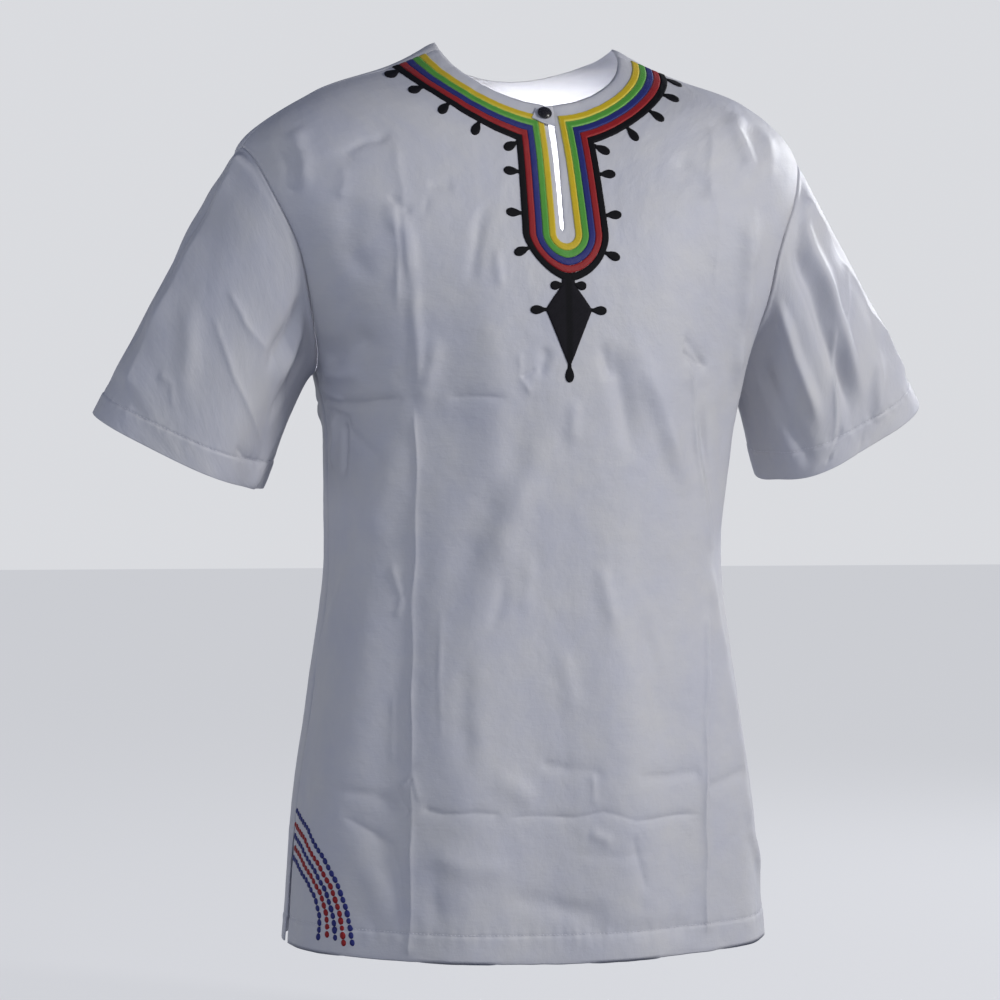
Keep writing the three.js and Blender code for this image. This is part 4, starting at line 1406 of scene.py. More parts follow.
@dataclass
class StitchRow:
    """A row of short machine stitches in white thread."""

    length: float = 2.3
    thick: float = 0.42
    step: float = 3.2
    end_room: float = 5.0

    def add(self, data: MeshData, places: Array, normals: Array) -> None:
        """Add a stitch at each place, towards the next one.

        Args:
            data: The mesh to add to.
            places: The places along the row.
            normals: The cloth's outward directions there.
        """
        ways = unit(np.gradient(places, axis=0))
        turn = np.arange(6) / 6 * 2 * np.pi
        for place, way, normal in zip(places, ways, unit(normals)):
            beside = np.cross(normal, way)
            points = []
            for share, size in ((-0.5, 0.35), (-0.3, 1.0), (0.3, 1.0), (0.5, 0.35)):
                sink = 0.28 if size > 0.5 else -0.1
                middle = place + way * share * self.length + normal * sink
                ring = beside * np.cos(turn)[:, None] + normal * np.sin(turn)[:, None]
                points.append(middle + ring * self.thick / 2 * size)
            faces = grid_faces(4, 6, ring=True)
            faces.append((5, 4, 3, 2, 1, 0))
            faces.append((18, 19, 20, 21, 22, 23))
            flat = np.stack([np.tile(np.cos(turn), 4) * 0.2, np.repeat([0, 0.6, 1.6, 2.3], 6)], axis=1)
            data.add(np.concatenate(points), faces, flat)


PRESSED, SOFT = CreaseKind.PRESSED, CreaseKind.SOFT

# Places are angles from the middle of the front and heights
FRONT_CREASES = [
    Crease(PRESSED, (
        (-48.9, -315), (-48.6, -360), (-49.3, -437), (-50, -475), (-48, -557), (-46.9, -622),
    ), 4, 1.2, 0.08),
    Crease(PRESSED, ((-46.9, -622), (-46.2, -695), (-46.6, -767)), 4, 1.3, 0.05),
    Crease(PRESSED, ((-55.2, -88), (-48.3, -139), (-45.8, -221)), 3.5, 0.9, 0.2),
    Crease(PRESSED, ((-49.7, -137), (-48.7, -189), (-50.3, -246)), 3.5, 0.9, 0.2),
    Crease(SOFT, ((-46.6, -152), (-45.3, -221), (-48, -311)), 5, 1.3, 0.2),
    Crease(PRESSED, ((-41.5, -475), (-39.2, -600)), 3, 0.6, 0.2),
    Crease(PRESSED, ((-54.1, -549), (-52.5, -614)), 3, 0.6, 0.2),
    Crease(PRESSED, ((52.1, -483), (47.5, -561), (44.4, -644), (43.9, -757)), 4, 1.5, 0.05),
    Crease(PRESSED, ((51.8, -129), (50, -219)), 3, 0.6, 0.2),
    Crease(SOFT, (
        (53.8, -431), (55.7, -478), (57.8, -535), (58.9, -597), (61.3, -673), (76.6, -739),
    ), 7, 1.7, 0.15),
    Crease(PRESSED, ((-79.7, -630), (-64.5, -633), (-55.6, -637), (-47.9, -648)), 4, -1.3, 0.1),
    Crease(PRESSED, ((-44.4, -644), (-38.2, -649), (-21.6, -650)), 4, -1.2, 0.1),
    Crease(PRESSED, ((-21.6, -652), (1.6, -653), (9.7, -650), (20.5, -657), (43.6, -655)), 4, -0.9, 0.1),
    Crease(PRESSED, ((-11.1, -608), (-3.7, -613), (5.8, -615), (11.1, -621)), 4, -1.1, 0.15),
    Crease(PRESSED, ((20.8, -622), (44.3, -621)), 4.5, -1.2, 0.1),
    Crease(PRESSED, ((45.3, -633), (59.7, -623)), 4.5, -1.2, 0.1),
    Crease(PRESSED, ((6.8, -615), (6.9, -645)), 3.5, 0.8, 0.2),
    Crease(PRESSED, ((-50.1, -632), (-46.7, -619), (-44.1, -640)), 3, 1.1, 0.1),
    Crease(PRESSED, ((-50.3, -636), (-47, -650)), 3, -1, 0.1),
    Crease(SOFT, ((-25, -617), (-10.1, -643)), 10, 1.5, 0.3),
    Crease(PRESSED, (
        (-66.3, -652), (-56.4, -668), (-51.5, -677), (-49.9, -698), (-48.3, -747),
    ), 5, -1.1, 0.15),
    Crease(SOFT, ((-62.7, -663), (-56, -705), (-53, -745)), 12, 1.6, 0.3),
    Crease(PRESSED, ((19.1, -667), (23.9, -717)), 4, -0.9, 0.2),
    Crease(SOFT, ((-22.5, -717), (-3.8, -727), (15, -738)), 8, -1.3, 0.25),
    Crease(SOFT, ((-0.6, -744), (21.5, -748), (42, -749)), 8, -1, 0.2),
    Crease(SOFT, ((-40.9, -691), (-39.5, -743)), 7, -1, 0.3),
    Crease(SOFT, ((5, -665), (10.6, -671), (12.5, -680)), 5, 0.9, 0.3),
    Crease(PRESSED, ((-88.9, -309), (-73.1, -313), (-57.6, -312), (-50.6, -311)), 4, -1.9, 0.12),
    Crease(PRESSED, ((-88.2, -311), (-73.5, -318), (-70.4, -321)), 3, 1.3, 0.2),
    Crease(PRESSED, ((-82.9, -315), (-70.7, -326)), 3, -1.2, 0.2),
    Crease(PRESSED, ((-73.6, -319), (-71.1, -337), (-63.6, -352), (-57.4, -363)), 3.5, -1.3, 0.15),
    Crease(PRESSED, ((-91.1, -296), (-81.1, -305), (-72.8, -310)), 4, 1.2, 0.2),
    Crease(SOFT, ((-80.2, -317), (-81.4, -342), (-84.7, -368)), 6, 2.4, 0.25),
    Crease(SOFT, ((-75, -322), (-74.9, -347), (-76.4, -376)), 5, -2, 0.25),
    Crease(SOFT, ((-79.4, -277), (-66.3, -267), (-56.6, -256)), 9, -2.2, 0.25),
    Crease(SOFT, ((-84.2, -288), (-70.6, -288), (-62.8, -286)), 7, 1.5, 0.25),
    Crease(PRESSED, ((-17.1, -270), (-16.4, -291), (-12.5, -308)), 3.5, 1, 0.2),
    Crease(PRESSED, ((-16.7, -293), (-11.4, -285)), 3, -0.9, 0.2),
    Crease(PRESSED, ((-40.3, -309), (-30.7, -309), (-20, -309)), 4.5, -0.9, 0.25),
    Crease(SOFT, ((-1, -290), (-12.4, -368), (-24.6, -440), (-33, -520)), 17, 2.0, 0.42),
    Crease(SOFT, ((-8.4, -290), (-20.4, -364), (-33.7, -436), (-41, -510)), 17, -1.7, 0.42),
    Crease(SOFT, ((-40, -257), (-44.3, -291), (-48, -323)), 8, 2, 0.3),
    Crease(SOFT, ((-49.5, -327), (-58.4, -385), (-68.4, -435), (-81.6, -503), (-94.4, -555)), 16, 2.0, 0.3),
    Crease(SOFT, ((21.8, -255), (34.7, -326), (47.7, -396)), 12, 2.6, 0.3),
    Crease(SOFT, ((14.1, -259), (19.8, -319), (24.3, -364)), 11, -2.2, 0.3),
    Crease(PRESSED, ((41.9, -265), (47.5, -326), (52.3, -393), (56.5, -440)), 6, 1.9, 0.15),
    Crease(SOFT, ((49.7, -309), (55.1, -368), (60.5, -436)), 5, -1.6, 0.25),
    Crease(PRESSED, ((40.1, -257), (45.5, -269), (50.5, -280)), 4, -1.8, 0.2),
    Crease(PRESSED, ((39.8, -268), (47.2, -279), (51.8, -281)), 4, -1.5, 0.2),
    Crease(SOFT, ((44.1, -101), (47.9, -124), (49.9, -142)), 9, -1.8, 0.3),
    Crease(PRESSED, ((57.6, -73), (53.6, -106), (51, -138)), 4, 1.1, 0.2),
    Crease(SOFT, ((71.5, -55), (63.7, -77), (61.5, -126)), 6, 2.4, 0.25),
    Crease(SOFT, ((73.3, -70), (64.2, -127)), 6, 1.7, 0.3),
    Crease(SOFT, ((59.2, -132), (59.1, -169), (60.1, -198), (61.8, -248), (66.4, -302)), 8, 2.6, 0.2),
    Crease(SOFT, ((-7, -266), (-10.8, -295)), 6, -1.2, 0.3),
    Crease(SOFT, ((11.3, -261), (14.8, -296)), 6, -1.2, 0.3),
    Crease(SOFT, ((2.3, -307), (0.5, -352)), 8, 1.3, 0.3),
    Crease(PRESSED, ((-61.6, -116), (-61.2, -105), (-59.4, -98), (-55, -94)), 5, -1.6, 0.2),
    Crease(PRESSED, ((-60.6, -147), (-60, -135), (-61.5, -118)), 4, 1.2, 0.2),
    Crease(PRESSED, ((-51.2, -143), (-48.5, -152), (-45.5, -158)), 3.5, -1.4, 0.2),
    Crease(SOFT, ((-50.3, -145), (-50.5, -160), (-48.6, -177)), 5, 1.2, 0.3),
    Crease(PRESSED, ((-43.8, -136), (-36.5, -135)), 4, -0.9, 0.25),
    Crease(PRESSED, ((-42.7, -143), (-42.9, -160)), 3.5, -1, 0.25),
    Crease(SOFT, ((-73.6, -82), (-69.2, -113), (-67.7, -144)), 5, 2, 0.25),
    Crease(SOFT, ((-74.4, -91), (-70.4, -117), (-68.9, -142)), 5, -1.7, 0.25),
    Crease(SOFT, ((-58.2, -139), (-58.8, -188), (-55.6, -221)), 9, -1.4, 0.3),
    Crease(SOFT, ((-26.6, -146), (-28.3, -180), (-31.2, -221)), 6, -1.1, 0.3),
    Crease(SOFT, ((-22.4, -184), (-21.7, -221)), 5, 0.9, 0.3),
    Crease(SOFT, ((-22.1, -442), (-23, -475), (-26.8, -508)), 7, -0.9, 0.4),
    Crease(SOFT, ((-13.7, -436), (-14, -491)), 8, 0.9, 0.4),
    Crease(PRESSED, ((-57.1, -443), (-53.3, -474), (-55, -493)), 4, 0.9, 0.2),
    Crease(SOFT, ((-3.1, -508), (1.4, -574)), 10, 1, 0.3),
    Crease(SOFT, ((25.6, -476), (29.3, -542), (29.5, -608)), 10, -1.3, 0.3),
    Crease(SOFT, ((-32.1, -508), (-33.7, -573), (-31.6, -629)), 10, -1.2, 0.3),
    Crease(SOFT, ((11.4, -443), (16.5, -509)), 9, 1.1, 0.3),
    Crease(PRESSED, ((-3.8, -680), (8.8, -687), (26.7, -684)), 4, -0.6, 0.3),
    Crease(SOFT, ((-44.1, -679), (-30.9, -694), (-16.5, -694)), 9, 1.2, 0.3),
]

BACK_CREASES = [
    Crease(PRESSED, ((158, -120), (157, -300), (158, -520), (157, -765)), 4, 1.2, 0.06),
    Crease(PRESSED, ((206, -110), (207, -330), (205, -560), (206, -765)), 4, 1.3, 0.06),
    Crease(PRESSED, ((182, -200), (181, -420)), 3.5, 0.6, 0.2),
    Crease(PRESSED, ((100, -655), (122, -662), (150, -657), (157, -664)), 4, -1.2, 0.1),
    Crease(PRESSED, ((160, -662), (182, -667), (205, -660)), 4, -1.0, 0.1),
    Crease(PRESSED, ((208, -658), (232, -664), (258, -655)), 4.5, -1.2, 0.1),
    Crease(PRESSED, ((104, -318), (126, -325), (152, -321)), 4, -1.1, 0.15),
    Crease(PRESSED, ((163, -324), (190, -320), (204, -324)), 4, -0.8, 0.15),
    Crease(PRESSED, ((212, -322), (240, -318), (256, -326)), 4, -1.2, 0.15),
    Crease(SOFT, ((98, -300), (116, -330), (140, -372)), 8, 2.2, 0.25),
    Crease(SOFT, ((98, -318), (114, -352), (132, -400)), 7, -1.9, 0.25),
    Crease(SOFT, ((262, -298), (246, -335), (226, -392)), 8, 2.4, 0.25),
    Crease(SOFT, ((262, -320), (248, -360), (238, -420)), 6, -2.0, 0.25),
    Crease(PRESSED, ((97, -308), (110, -322)), 3.5, 1.3, 0.2),
    Crease(PRESSED, ((264, -306), (252, -312), (243, -330)), 3.5, -1.4, 0.2),
    Crease(SOFT, ((128, -110), (124, -190), (118, -270)), 10, 2.6, 0.25),
    Crease(SOFT, ((138, -120), (134, -210), (126, -290)), 9, -2.0, 0.3),
    Crease(SOFT, ((230, -112), (236, -195), (243, -275)), 10, 2.4, 0.25),
    Crease(SOFT, ((222, -125), (226, -215), (234, -290)), 9, -2.0, 0.3),
    Crease(SOFT, ((168, -90), (165, -160), (162, -240)), 11, 1.7, 0.3),
    Crease(SOFT, ((194, -84), (197, -170), (203, -250)), 10, 1.5, 0.3),
    Crease(SOFT, ((150, -400), (143, -520), (139, -660)), 12, 2.6, 0.25),
    Crease(SOFT, ((172, -380), (170, -520), (173, -650)), 12, 2.0, 0.25),
    Crease(SOFT, ((190, -430), (194, -560), (190, -700)), 11, -2.0, 0.25),
    Crease(SOFT, ((216, -420), (221, -560), (225, -700)), 12, 2.5, 0.25),
    Crease(SOFT, ((240, -450), (246, -600), (249, -740)), 10, -2.1, 0.25),
    Crease(SOFT, ((118, -450), (113, -590), (110, -740)), 10, 2.2, 0.25),
    Crease(PRESSED, ((146, -580), (149, -602), (146, -622)), 4, 0.9, 0.2),
    Crease(PRESSED, ((216, -214), (211, -228), (214, -250)), 4, -1.1, 0.2),
    Crease(PRESSED, ((178, -560), (185, -574), (181, -596)), 3.5, 0.8, 0.2),
    Crease(SOFT, ((130, -716), (160, -726), (188, -718)), 9, -1.1, 0.25),
    Crease(SOFT, ((196, -708), (214, -722), (240, -716)), 9, 1.2, 0.25),
]

# Places are angles from the sleeve's upper line over its front, and distances from the armhole seam
RIGHT_SLEEVE_CREASES = [
    Crease(PRESSED, ((20, -6), (25, -90), (30, -215)), 24, 3.4, 0.08),
    Crease(SOFT, ((2, -14), (4, -90), (8, -200)), 12, -1.6, 0.2),
    Crease(PRESSED, ((62, -92), (84, -86), (108, -66)), 4, 0.9, 0.2),
    Crease(PRESSED, ((56, -112), (92, -110), (140, -92)), 3.5, 0.9, 0.2),
    Crease(SOFT, ((118, -14), (124, -44), (122, -76)), 6, 2.6, 0.3),
    Crease(SOFT, ((106, -12), (112, -44), (110, -80)), 6, -2.2, 0.3),
    Crease(SOFT, ((134, -20), (137, -52), (132, -84)), 5, -1.8, 0.3),
    Crease(PRESSED, ((150, -96), (128, -118), (112, -128)), 4, -1.2, 0.2),
    Crease(SOFT, ((156, -40), (150, -100), (138, -150)), 9, 2.0, 0.25),
    Crease(SOFT, ((40, -120), (60, -140), (74, -172)), 11, 1.2, 0.3),
    Crease(PRESSED, ((48, -176), (60, -168), (70, -178)), 5, 1.1, 0.25),
    Crease(PRESSED, ((-60, -84), (-92, -80), (-120, -62)), 4, 0.9, 0.2),
    Crease(SOFT, ((-30, -16), (-38, -100), (-40, -190)), 12, 2.2, 0.2),
    Crease(SOFT, ((-120, -12), (-126, -50), (-124, -96)), 7, 2.3, 0.3),
    Crease(SOFT, ((-105, -14), (-110, -60), (-106, -110)), 7, -2.0, 0.3),
    Crease(PRESSED, ((-150, -90), (-128, -104), (-104, -132)), 4, -1.2, 0.2),
]

LEFT_SLEEVE_CREASES = [
    Crease(PRESSED, ((48, -10), (40, -80), (34, -150), (30, -205)), 16, 2.6, 0.12),
    Crease(SOFT, ((60, -16), (68, -90), (76, -160)), 7, 2.8, 0.2),
    Crease(SOFT, ((72, -14), (82, -90), (88, -150)), 7, -2.2, 0.25),
    Crease(SOFT, ((104, -10), (110, -60), (112, -118)), 6, 2.2, 0.25),
    Crease(PRESSED, ((72, -92), (92, -116), (118, -146)), 4, 1.3, 0.15),
    Crease(PRESSED, ((118, -140), (106, -134), (98, -138)), 3.5, -1.1, 0.2),
    Crease(PRESSED, ((70, -110), (50, -100), (32, -96)), 3.5, 0.7, 0.25),
    Crease(SOFT, ((30, -20), (34, -90), (40, -180)), 13, -1.6, 0.25),
    Crease(SOFT, ((136, -20), (132, -80), (124, -130)), 7, -1.8, 0.25),
    Crease(SOFT, ((48, -150), (62, -166), (74, -186)), 8, 1.2, 0.3),
    Crease(PRESSED, ((84, -168), (96, -178), (112, -174)), 4, -0.9, 0.25),
    Crease(SOFT, ((-24, -18), (-30, -90), (-36, -185)), 11, 2.3, 0.2),
    Crease(PRESSED, ((-52, -92), (-84, -84), (-116, -60)), 4, 1.0, 0.2),
    Crease(SOFT, ((-84, -14), (-90, -70), (-88, -140)), 8, -2.0, 0.25),
    Crease(SOFT, ((-116, -10), (-122, -60), (-120, -110)), 7, 2.3, 0.25),
    Crease(PRESSED, ((-140, -100), (-118, -122), (-96, -136)), 4, -1.2, 0.2),
]

HEM_DOT_LINES = (
    (Thread.BLUE, (
        (-88, -656), (-77.4, -668), (-69.8, -689), (-65.7, -709), (-63.1, -730), (-61.5, -753),
        (-61.1, -760),
    )),
    (Thread.RED, (
        (-90, -666), (-79.6, -676), (-71.4, -695), (-67.3, -713), (-64.9, -733), (-63.6, -754),
        (-63.4, -760),
    )),
    (Thread.BLUE, (
        (-91, -674), (-81.5, -683), (-73, -700), (-68.9, -716), (-66.8, -734), (-65.8, -754),
        (-65.7, -759),
    )),
    (Thread.RED, (
        (-89.8, -684), (-82.2, -691), (-74.3, -706), (-70.4, -719), (-68.6, -735), (-68.1, -752),
        (-68.2, -757),
    )),
    (Thread.BLUE, (
        (-90.9, -693), (-84.3, -698), (-76.2, -711), (-72.3, -723), (-70.7, -737), (-70.5, -752),
        (-70.9, -756),
    )),
)


@dataclass
class ButtonTab:
    """The small overlap of cloth that closes the top of the slit."""

    front: Front
    point: tuple[float, float] = (-17.0, -74.0)
    upper: tuple[float, float] = (-11.0, -64.5)
    right_top: tuple[float, float] = (3.6, -62.5)
    right_foot: tuple[float, float] = (3.8, -81.5)
    lower: tuple[float, float] = (-9.0, -78.5)
    rise: float = 1.75
    wall: float = 0.7

    def build(self, finish: bpy.types.Material) -> bpy.types.Object:
        """Return the tab as a curled sheet."""
        u, v = np.meshgrid(np.linspace(0, 1, 25), np.linspace(0, 1, 21))
        rounded = 1 - 0.12 * (2 * v - 1) ** 2 * (1 - u)
        top = self.mix(self.upper, self.right_top, u)
        foot_left = self.mix(self.point, self.lower, np.clip(u * 2.1, 0, 1))
        foot = self.mix(self.lower, self.right_foot, np.clip(u * 2.1 - 1, 0, 1) / 1.1)
        foot = np.where((u < 1 / 2.1)[..., None], foot_left, foot)
        place = top + (foot - top) * v[..., None]
        left = self.mix(self.upper, self.point, v)
        place = place + (left - place) * ((1 - u) ** 6)[..., None] * rounded[..., None]
        angle, level = self.front.form.place(place[..., 0], place[..., 1])
        curl = 1.15 * np.exp(-(((1 - v) / 0.13) ** 2)) * (0.5 + 0.5 * u)
        ripple = 0.22 * np.sin(u * 9 + v * 4) + 0.15 * np.sin(v * 11 + 1)
        settle = smoothstep(u, 0.82, 1.0) * 0.5
        points = self.front.dressed(angle, level, self.rise + curl + ripple * 0.6 - settle)
        data = MeshData()
        faces = [face[::-1] for face in grid_faces(21, 25)]
        data.add(points, faces, place)
        piece = data.make("closing_tab", "cloth", finish)
        give_wall(piece, self.wall)
        return piece

    @staticmethod
    def mix(start: tuple[float, float], end: tuple[float, float], share: Array) -> Array:
        """Return places between two corners."""
        return np.array(start) + (np.array(end) - np.array(start)) * share[..., None]


@dataclass
class TopButton:
    """The black domed button on the tab."""

    front: Front
    x: float = -5.5
    z: float = -70.5
    radius: float = 6.05
    lower: float = 3.1
    edge: float = 1.5
    dome: float = 1.55
    sides: int = 56
    rounding: float = 0.35
    rings: tuple[tuple[float, float], ...] = (
        (0.93, 0.1), (0.88, -0.12), (0.74, 0.5), (0.58, 0.36), (0.4, 0.3), (0.2, 0.22), (0.07, 0.06),
    )

    def build(self, finish: bpy.types.Material) -> bpy.types.Object:
        """Return the button, modelled from a flat disc and set on the tab."""
        bpy.ops.object.select_all(action="DESELECT")
        bpy.ops.mesh.primitive_cylinder_add(
            vertices=self.sides, radius=self.radius * MM, depth=self.edge * MM,
            end_fill_type="NGON", location=(0, 0, 0),
        )
        piece = bpy.context.object
        piece.name = "domed_button"
        self.shape_top(piece)
        bevel = piece.modifiers.new("rounded edge", "BEVEL")
        bevel.width = self.rounding * MM
        bevel.segments = 3
        bevel.angle_limit = math.radians(40)
        bpy.ops.object.modifier_apply(modifier=bevel.name)
        angle, level = self.front.form.place(self.x, self.z)
        normal = Vector(self.front.form.normal(angle, level))
        middle = Vector(self.front.form.cloth(angle, level)) + normal * (self.lower + self.edge / 2)
        facing = normal.to_track_quat("Z", "Y").to_matrix().to_4x4()
        piece.data.transform(Matrix.Translation(middle * MM) @ facing)
        bpy.ops.object.shade_smooth_by_angle(angle=math.radians(35))
        piece.data.materials.append(finish)
        return piece

    def shape_top(self, piece: bpy.types.Object) -> None:
        """Raise the button's face in rings to a low dome behind a narrow rim."""
        bpy.ops.object.mode_set(mode="EDIT")
        bpy.ops.mesh.select_all(action="DESELECT")
        mesh = bmesh.from_edit_mesh(piece.data)
        for face in mesh.faces:
            face.select_set(face.normal.z > 0.9)
        bmesh.update_edit_mesh(piece.data)
        whole = sum(height for _, height in self.rings)
        share_before = 1.0
        for share, height in self.rings:
            bpy.ops.mesh.inset(thickness=(share_before - share) * self.radius * MM, depth=0)
            bpy.ops.transform.translate(value=(0, 0, height * self.dome / whole * MM))
            share_before = share
        bpy.ops.object.mode_set(mode="OBJECT")


@dataclass(frozen=True)
class Lamp:
    """A soft light, placed from the middle of the top as the camera sees it."""

    name: str
    ahead: float
    right: float
    up: float
    size: float
    power: float
    colour: tuple[float, float, float]
    aim_ahead: float = 0.0
    aim_up: float = 0.0
    spread: float = math.pi


LAMPS = [
    Lamp("key", -1.4, 2.25, 1.15, 0.35, 37.0, (1.0, 0.98, 0.94)),
    Lamp("fill", -2.0, -1.2, 0.4, 0.6, 5.5, (0.76, 0.84, 1.0)),
    Lamp("front", -2.6, 0.5, 0.5, 0.4, 4.5, (1.0, 0.99, 0.98)),
    Lamp("side", -0.7, 2.6, 0.1, 0.4, 6.5, (1.0, 0.99, 0.98)),
    Lamp("back", 1.7, 1.7, 1.1, 0.5, 26.0, (0.96, 0.98, 1.0)),
    Lamp("inside", -0.02, 0.0, 0.24, 0.14, 0.8, (1.0, 1.0, 1.0), 1.0, 0.24, 1.9),
]


@dataclass
class Studio:
    """The camera, the plain pale floor and the soft light."""

    azimuth: float = -15.0
    distance: float = 2.8
    height: float = -0.393
    shift_right: float = -0.0207
    frame_width: float = 0.864
    sensor: float = 36.0
    floor_size: float = 40.0
    floor_height: float = -0.88
    floor_tone: tuple[float, float, float] = (0.2, 0.2, 0.21)
    floor_glow: float = 0.82
    horizon_band: tuple[float, float] = (0.18, 0.3)
    horizon: tuple[float, float, float] = (0.7, 0.71, 0.74)
    sky: tuple[float, float, float] = (0.08, 0.095, 0.15)

    def build(self) -> None:
        """Add the camera, floor, lights and surroundings."""
        turn = math.radians(self.azimuth)
        ahead = Vector((-math.sin(turn), math.cos(turn), 0))
        right = Vector((math.cos(turn), math.sin(turn), 0))
        self.camera(ahead, right)
        self.floor()
        self.surroundings()
        middle = Vector((0, 0, self.height))
        for lamp in LAMPS:
            place = middle + ahead * lamp.ahead + right * lamp.right + Vector((0, 0, lamp.up))
            self.light(lamp, place, middle + Vector((0, 0, lamp.aim_up)) + ahead * lamp.aim_ahead)

    def surroundings(self) -> None:
        """Make the room pale at eye level and dim above and below."""
        world = bpy.data.worlds.new("pale room")
        world.use_nodes = True
        tree = world.node_tree
        direction = tree.nodes.new("ShaderNodeTexCoord")
        split = tree.nodes.new("ShaderNodeSeparateXYZ")
        level = tree.nodes.new("ShaderNodeMath")
        level.operation = "ABSOLUTE"
        ramp = tree.nodes.new("ShaderNodeValToRGB")
        low, high = ramp.color_ramp.elements
        low.position, high.position = self.horizon_band
        low.color, high.color = (*self.horizon, 1), (*self.sky, 1)
        tree.links.new(direction.outputs["Generated"], split.inputs[0])
        tree.links.new(split.outputs["Z"], level.inputs[0])
        tree.links.new(level.outputs[0], ramp.inputs[0])
        tree.links.new(ramp.outputs[0], tree.nodes["Background"].inputs["Color"])
        bpy.context.scene.view_settings.view_transform = "Standard"
        bpy.context.scene.world = world

    def camera(self, ahead: Vector, right: Vector) -> None:
        """Add the camera at the photograph's viewing angle."""
        data = bpy.data.cameras.new("camera")
        data.sensor_width = self.sensor
        data.lens = self.sensor * self.distance / self.frame_width
        camera = bpy.data.objects.new("camera", data)
        middle = Vector((0, 0, self.height))
        camera.location = middle - ahead * self.distance + right * self.shift_right
        camera.rotation_euler = ahead.to_track_quat("-Z", "Y").to_euler()
        bpy.context.scene.collection.objects.link(camera)
        bpy.context.scene.camera = camera

    def light(self, lamp: Lamp, place: Vector, aim: Vector) -> None:
        """Add a soft square light that looks at a point."""
        data = bpy.data.lights.new(lamp.name, "AREA")
        data.size = lamp.size
        data.energy = lamp.power
        data.color = lamp.colour
        data.spread = lamp.spread
        light = bpy.data.objects.new(lamp.name, data)
        light.location = place
        light.rotation_euler = (aim - place).to_track_quat("-Z", "Y").to_euler()
        light.visible_camera = False
        bpy.context.scene.collection.objects.link(light)

    def floor(self) -> None:
        """Add the floor, which glows to an even pale tone and throws no light on the top."""
        bpy.ops.object.select_all(action="DESELECT")
        bpy.ops.mesh.primitive_plane_add(size=self.floor_size, location=(0, 0, 0))
        floor = bpy.context.object
        floor.name = "floor"
        floor.data.transform(Matrix.Translation((0, 0, self.floor_height)))
        nodes = Nodes("pale floor")
        nodes.set(Roughness=0.9, Base_Color=(*self.floor_tone, 1), Specular_IOR_Level=0.0)
        nodes.set(Emission_Color=(*self.horizon, 1), Emission_Strength=self.floor_glow)
        floor.data.materials.append(nodes.material)
        floor.visible_diffuse = False
        floor.visible_glossy = False


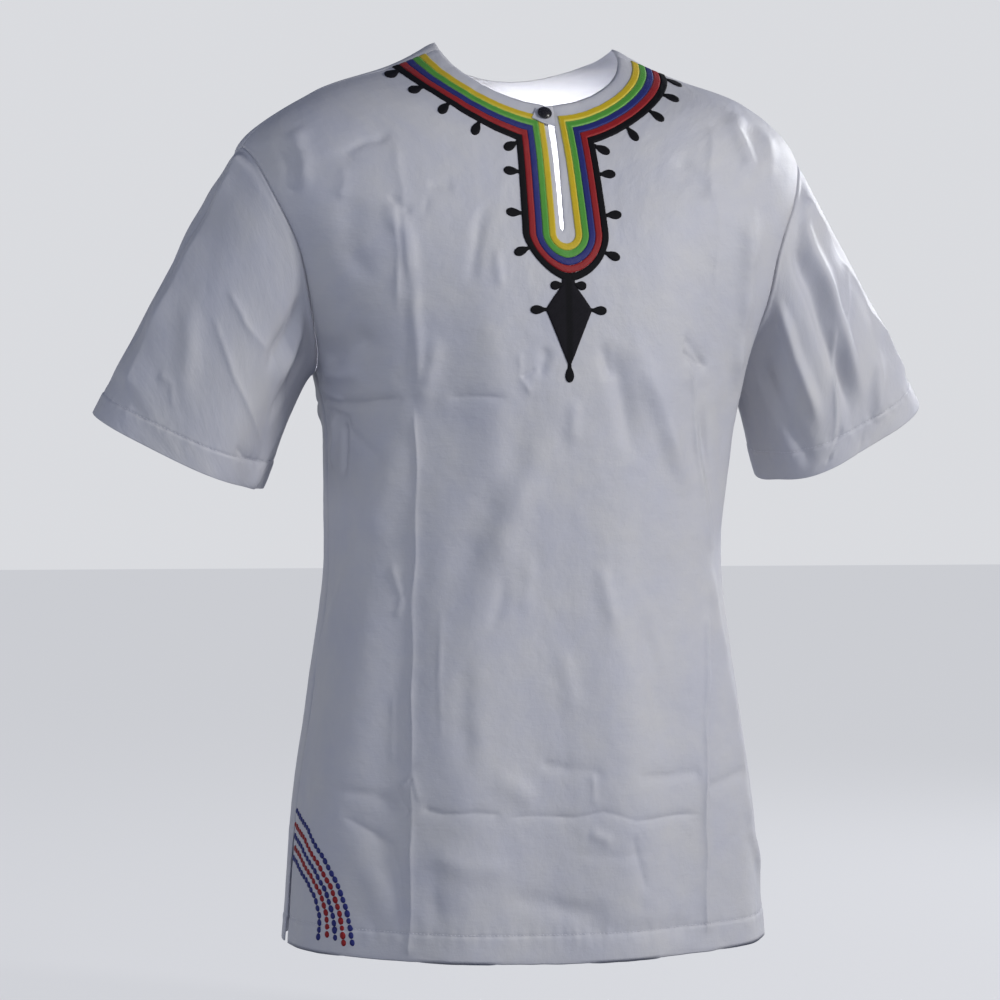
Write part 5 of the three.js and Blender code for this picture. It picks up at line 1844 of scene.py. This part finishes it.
@dataclass
class Tunic:
    """The whole top."""

    form: WornForm = field(default_factory=WornForm)

    def __post_init__(self) -> None:
        """Set up the panels and sleeves."""
        hem_row, fold_row = (22.0, 5.0), (113.0, 12.0)
        self.front = Front(
            self.form, CreaseMap(FRONT_CREASES), seed=0.3, rows=297, columns=305,
            close_rows=(hem_row, fold_row, (470.0, 16.0)),
            close_columns=((-0.53, 0.02), (0.5, 0.02), (0.0, 0.02)),
        )
        self.back = Back(
            self.form, CreaseMap(BACK_CREASES), seed=5.1, rows=285, columns=293,
            close_rows=(hem_row, fold_row, (460.0, 12.0)),
            close_columns=((0.37, 0.02), (0.65, 0.02)),
        )
        right_folds = ((62, 24, -4), (104, 22, 5), (150, 20, -4), (236, 30, -5), (292, 26, 4))
        left_folds = ((40, 22, 3), (84, 22, -5), (124, 20, 5), (160, 18, -4), (228, 28, 4), (282, 28, -4))
        self.sleeves = {
            "left": Sleeve(
                self.form, side=1, out=293, height=-337, across=80, slope=28, folds=left_folds,
                creases=CreaseMap(LEFT_SLEEVE_CREASES, radius=72.0, strength=2.6), seed=2.2,
            ),
            "right": Sleeve(
                self.form, side=-1, out=298, height=-351, across=79, slope=23, folds=right_folds,
                creases=CreaseMap(RIGHT_SLEEVE_CREASES, radius=72.0, strength=2.1), seed=3.7,
            ),
        }
        self.embroidery = Embroidery(self.front)

    def build(self) -> None:
        """Build and dress every piece."""
        cotton = CottonFinish().build()
        front = self.dress(self.front.build(cotton), "front")
        back = self.dress(self.back.build(cotton), "back")
        for name, sleeve in self.sleeves.items():
            node = f"sleeve_{name}"
            piece = self.dress(sleeve.build(f"{name}_sleeve_cloth", cotton), node)
        for index, thread in enumerate(Thread):
            name = thread.name.lower()
            data = self.embroidery.black() if thread is Thread.BLACK else self.embroidery.band(index)
            piece = data.make(f"{name}_stitching", "thread", thread.value.build())
            self.dress(piece, f"embroidery_{name}")
        tab = self.dress(ButtonTab(self.front).build(cotton), "button_tab")
        self.dress(TopButton(self.front).build(PolishFinish().build()), "button")
        for name, piece in HemDots(self.front, HEM_DOT_LINES).build().items():
            self.dress(piece, None)
        self.dress(self.stitching(), None)

    def dress(
        self, piece: bpy.types.Object, node: str | None
    ) -> bpy.types.Object:
        """Let a piece ride on the top, in place of its plain solid if it has one.

        Args:
            piece: The piece.
            node: The solid that it replaces, or None.

        Returns:
            The piece.
        """
        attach(piece, "root")
        if node:
            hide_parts(node)
        log.info("%s: %d faces", piece.name, len(piece.data.polygons))
        return piece

    def stitching(self) -> bpy.types.Object:
        """Return the machine stitches of the hems and cuffs."""
        data, row = MeshData(), StitchRow()
        for panel in (self.front, self.back):
            level = np.array(panel.hem_depth + 1.0)
            seam = float(self.form.seam_angle(level))
            clear = float(self.form.setback(level)) + row.end_room / SECTIONS[0].width
            if panel is self.front:
                start, end = -(seam - clear), seam - clear
            else:
                start, end = seam + clear, 2 * math.pi - seam - clear
            fine = np.linspace(start, end, 900)
            points = self.form.cloth(fine, np.full(len(fine), float(level)))
            run = np.concatenate([[0], np.cumsum(np.linalg.norm(np.diff(points, axis=0), axis=1))])
            angle = np.interp(np.arange(0, run[-1], row.step), run, fine)
            levels = np.full(len(angle), float(level))
            row.add(data, panel.dressed(angle, levels), self.form.normal(angle, levels))
        for sleeve in self.sleeves.values():
            row.add(data, *sleeve.stitch_places(row.step))
        thread = ThreadFinish("white sewing thread", (0.66, 0.665, 0.72), (0.7, 0.7, 0.75))
        return data.make("hem_stitching", "thread", thread.build())


def main() -> None:
    """Build the top and its studio."""
    logging.basicConfig(level=logging.INFO, format="%(relativeCreated)6d ms  %(message)s")
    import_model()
    Tunic().build()
    Studio().build()


if __name__ == "__main__":
    main()
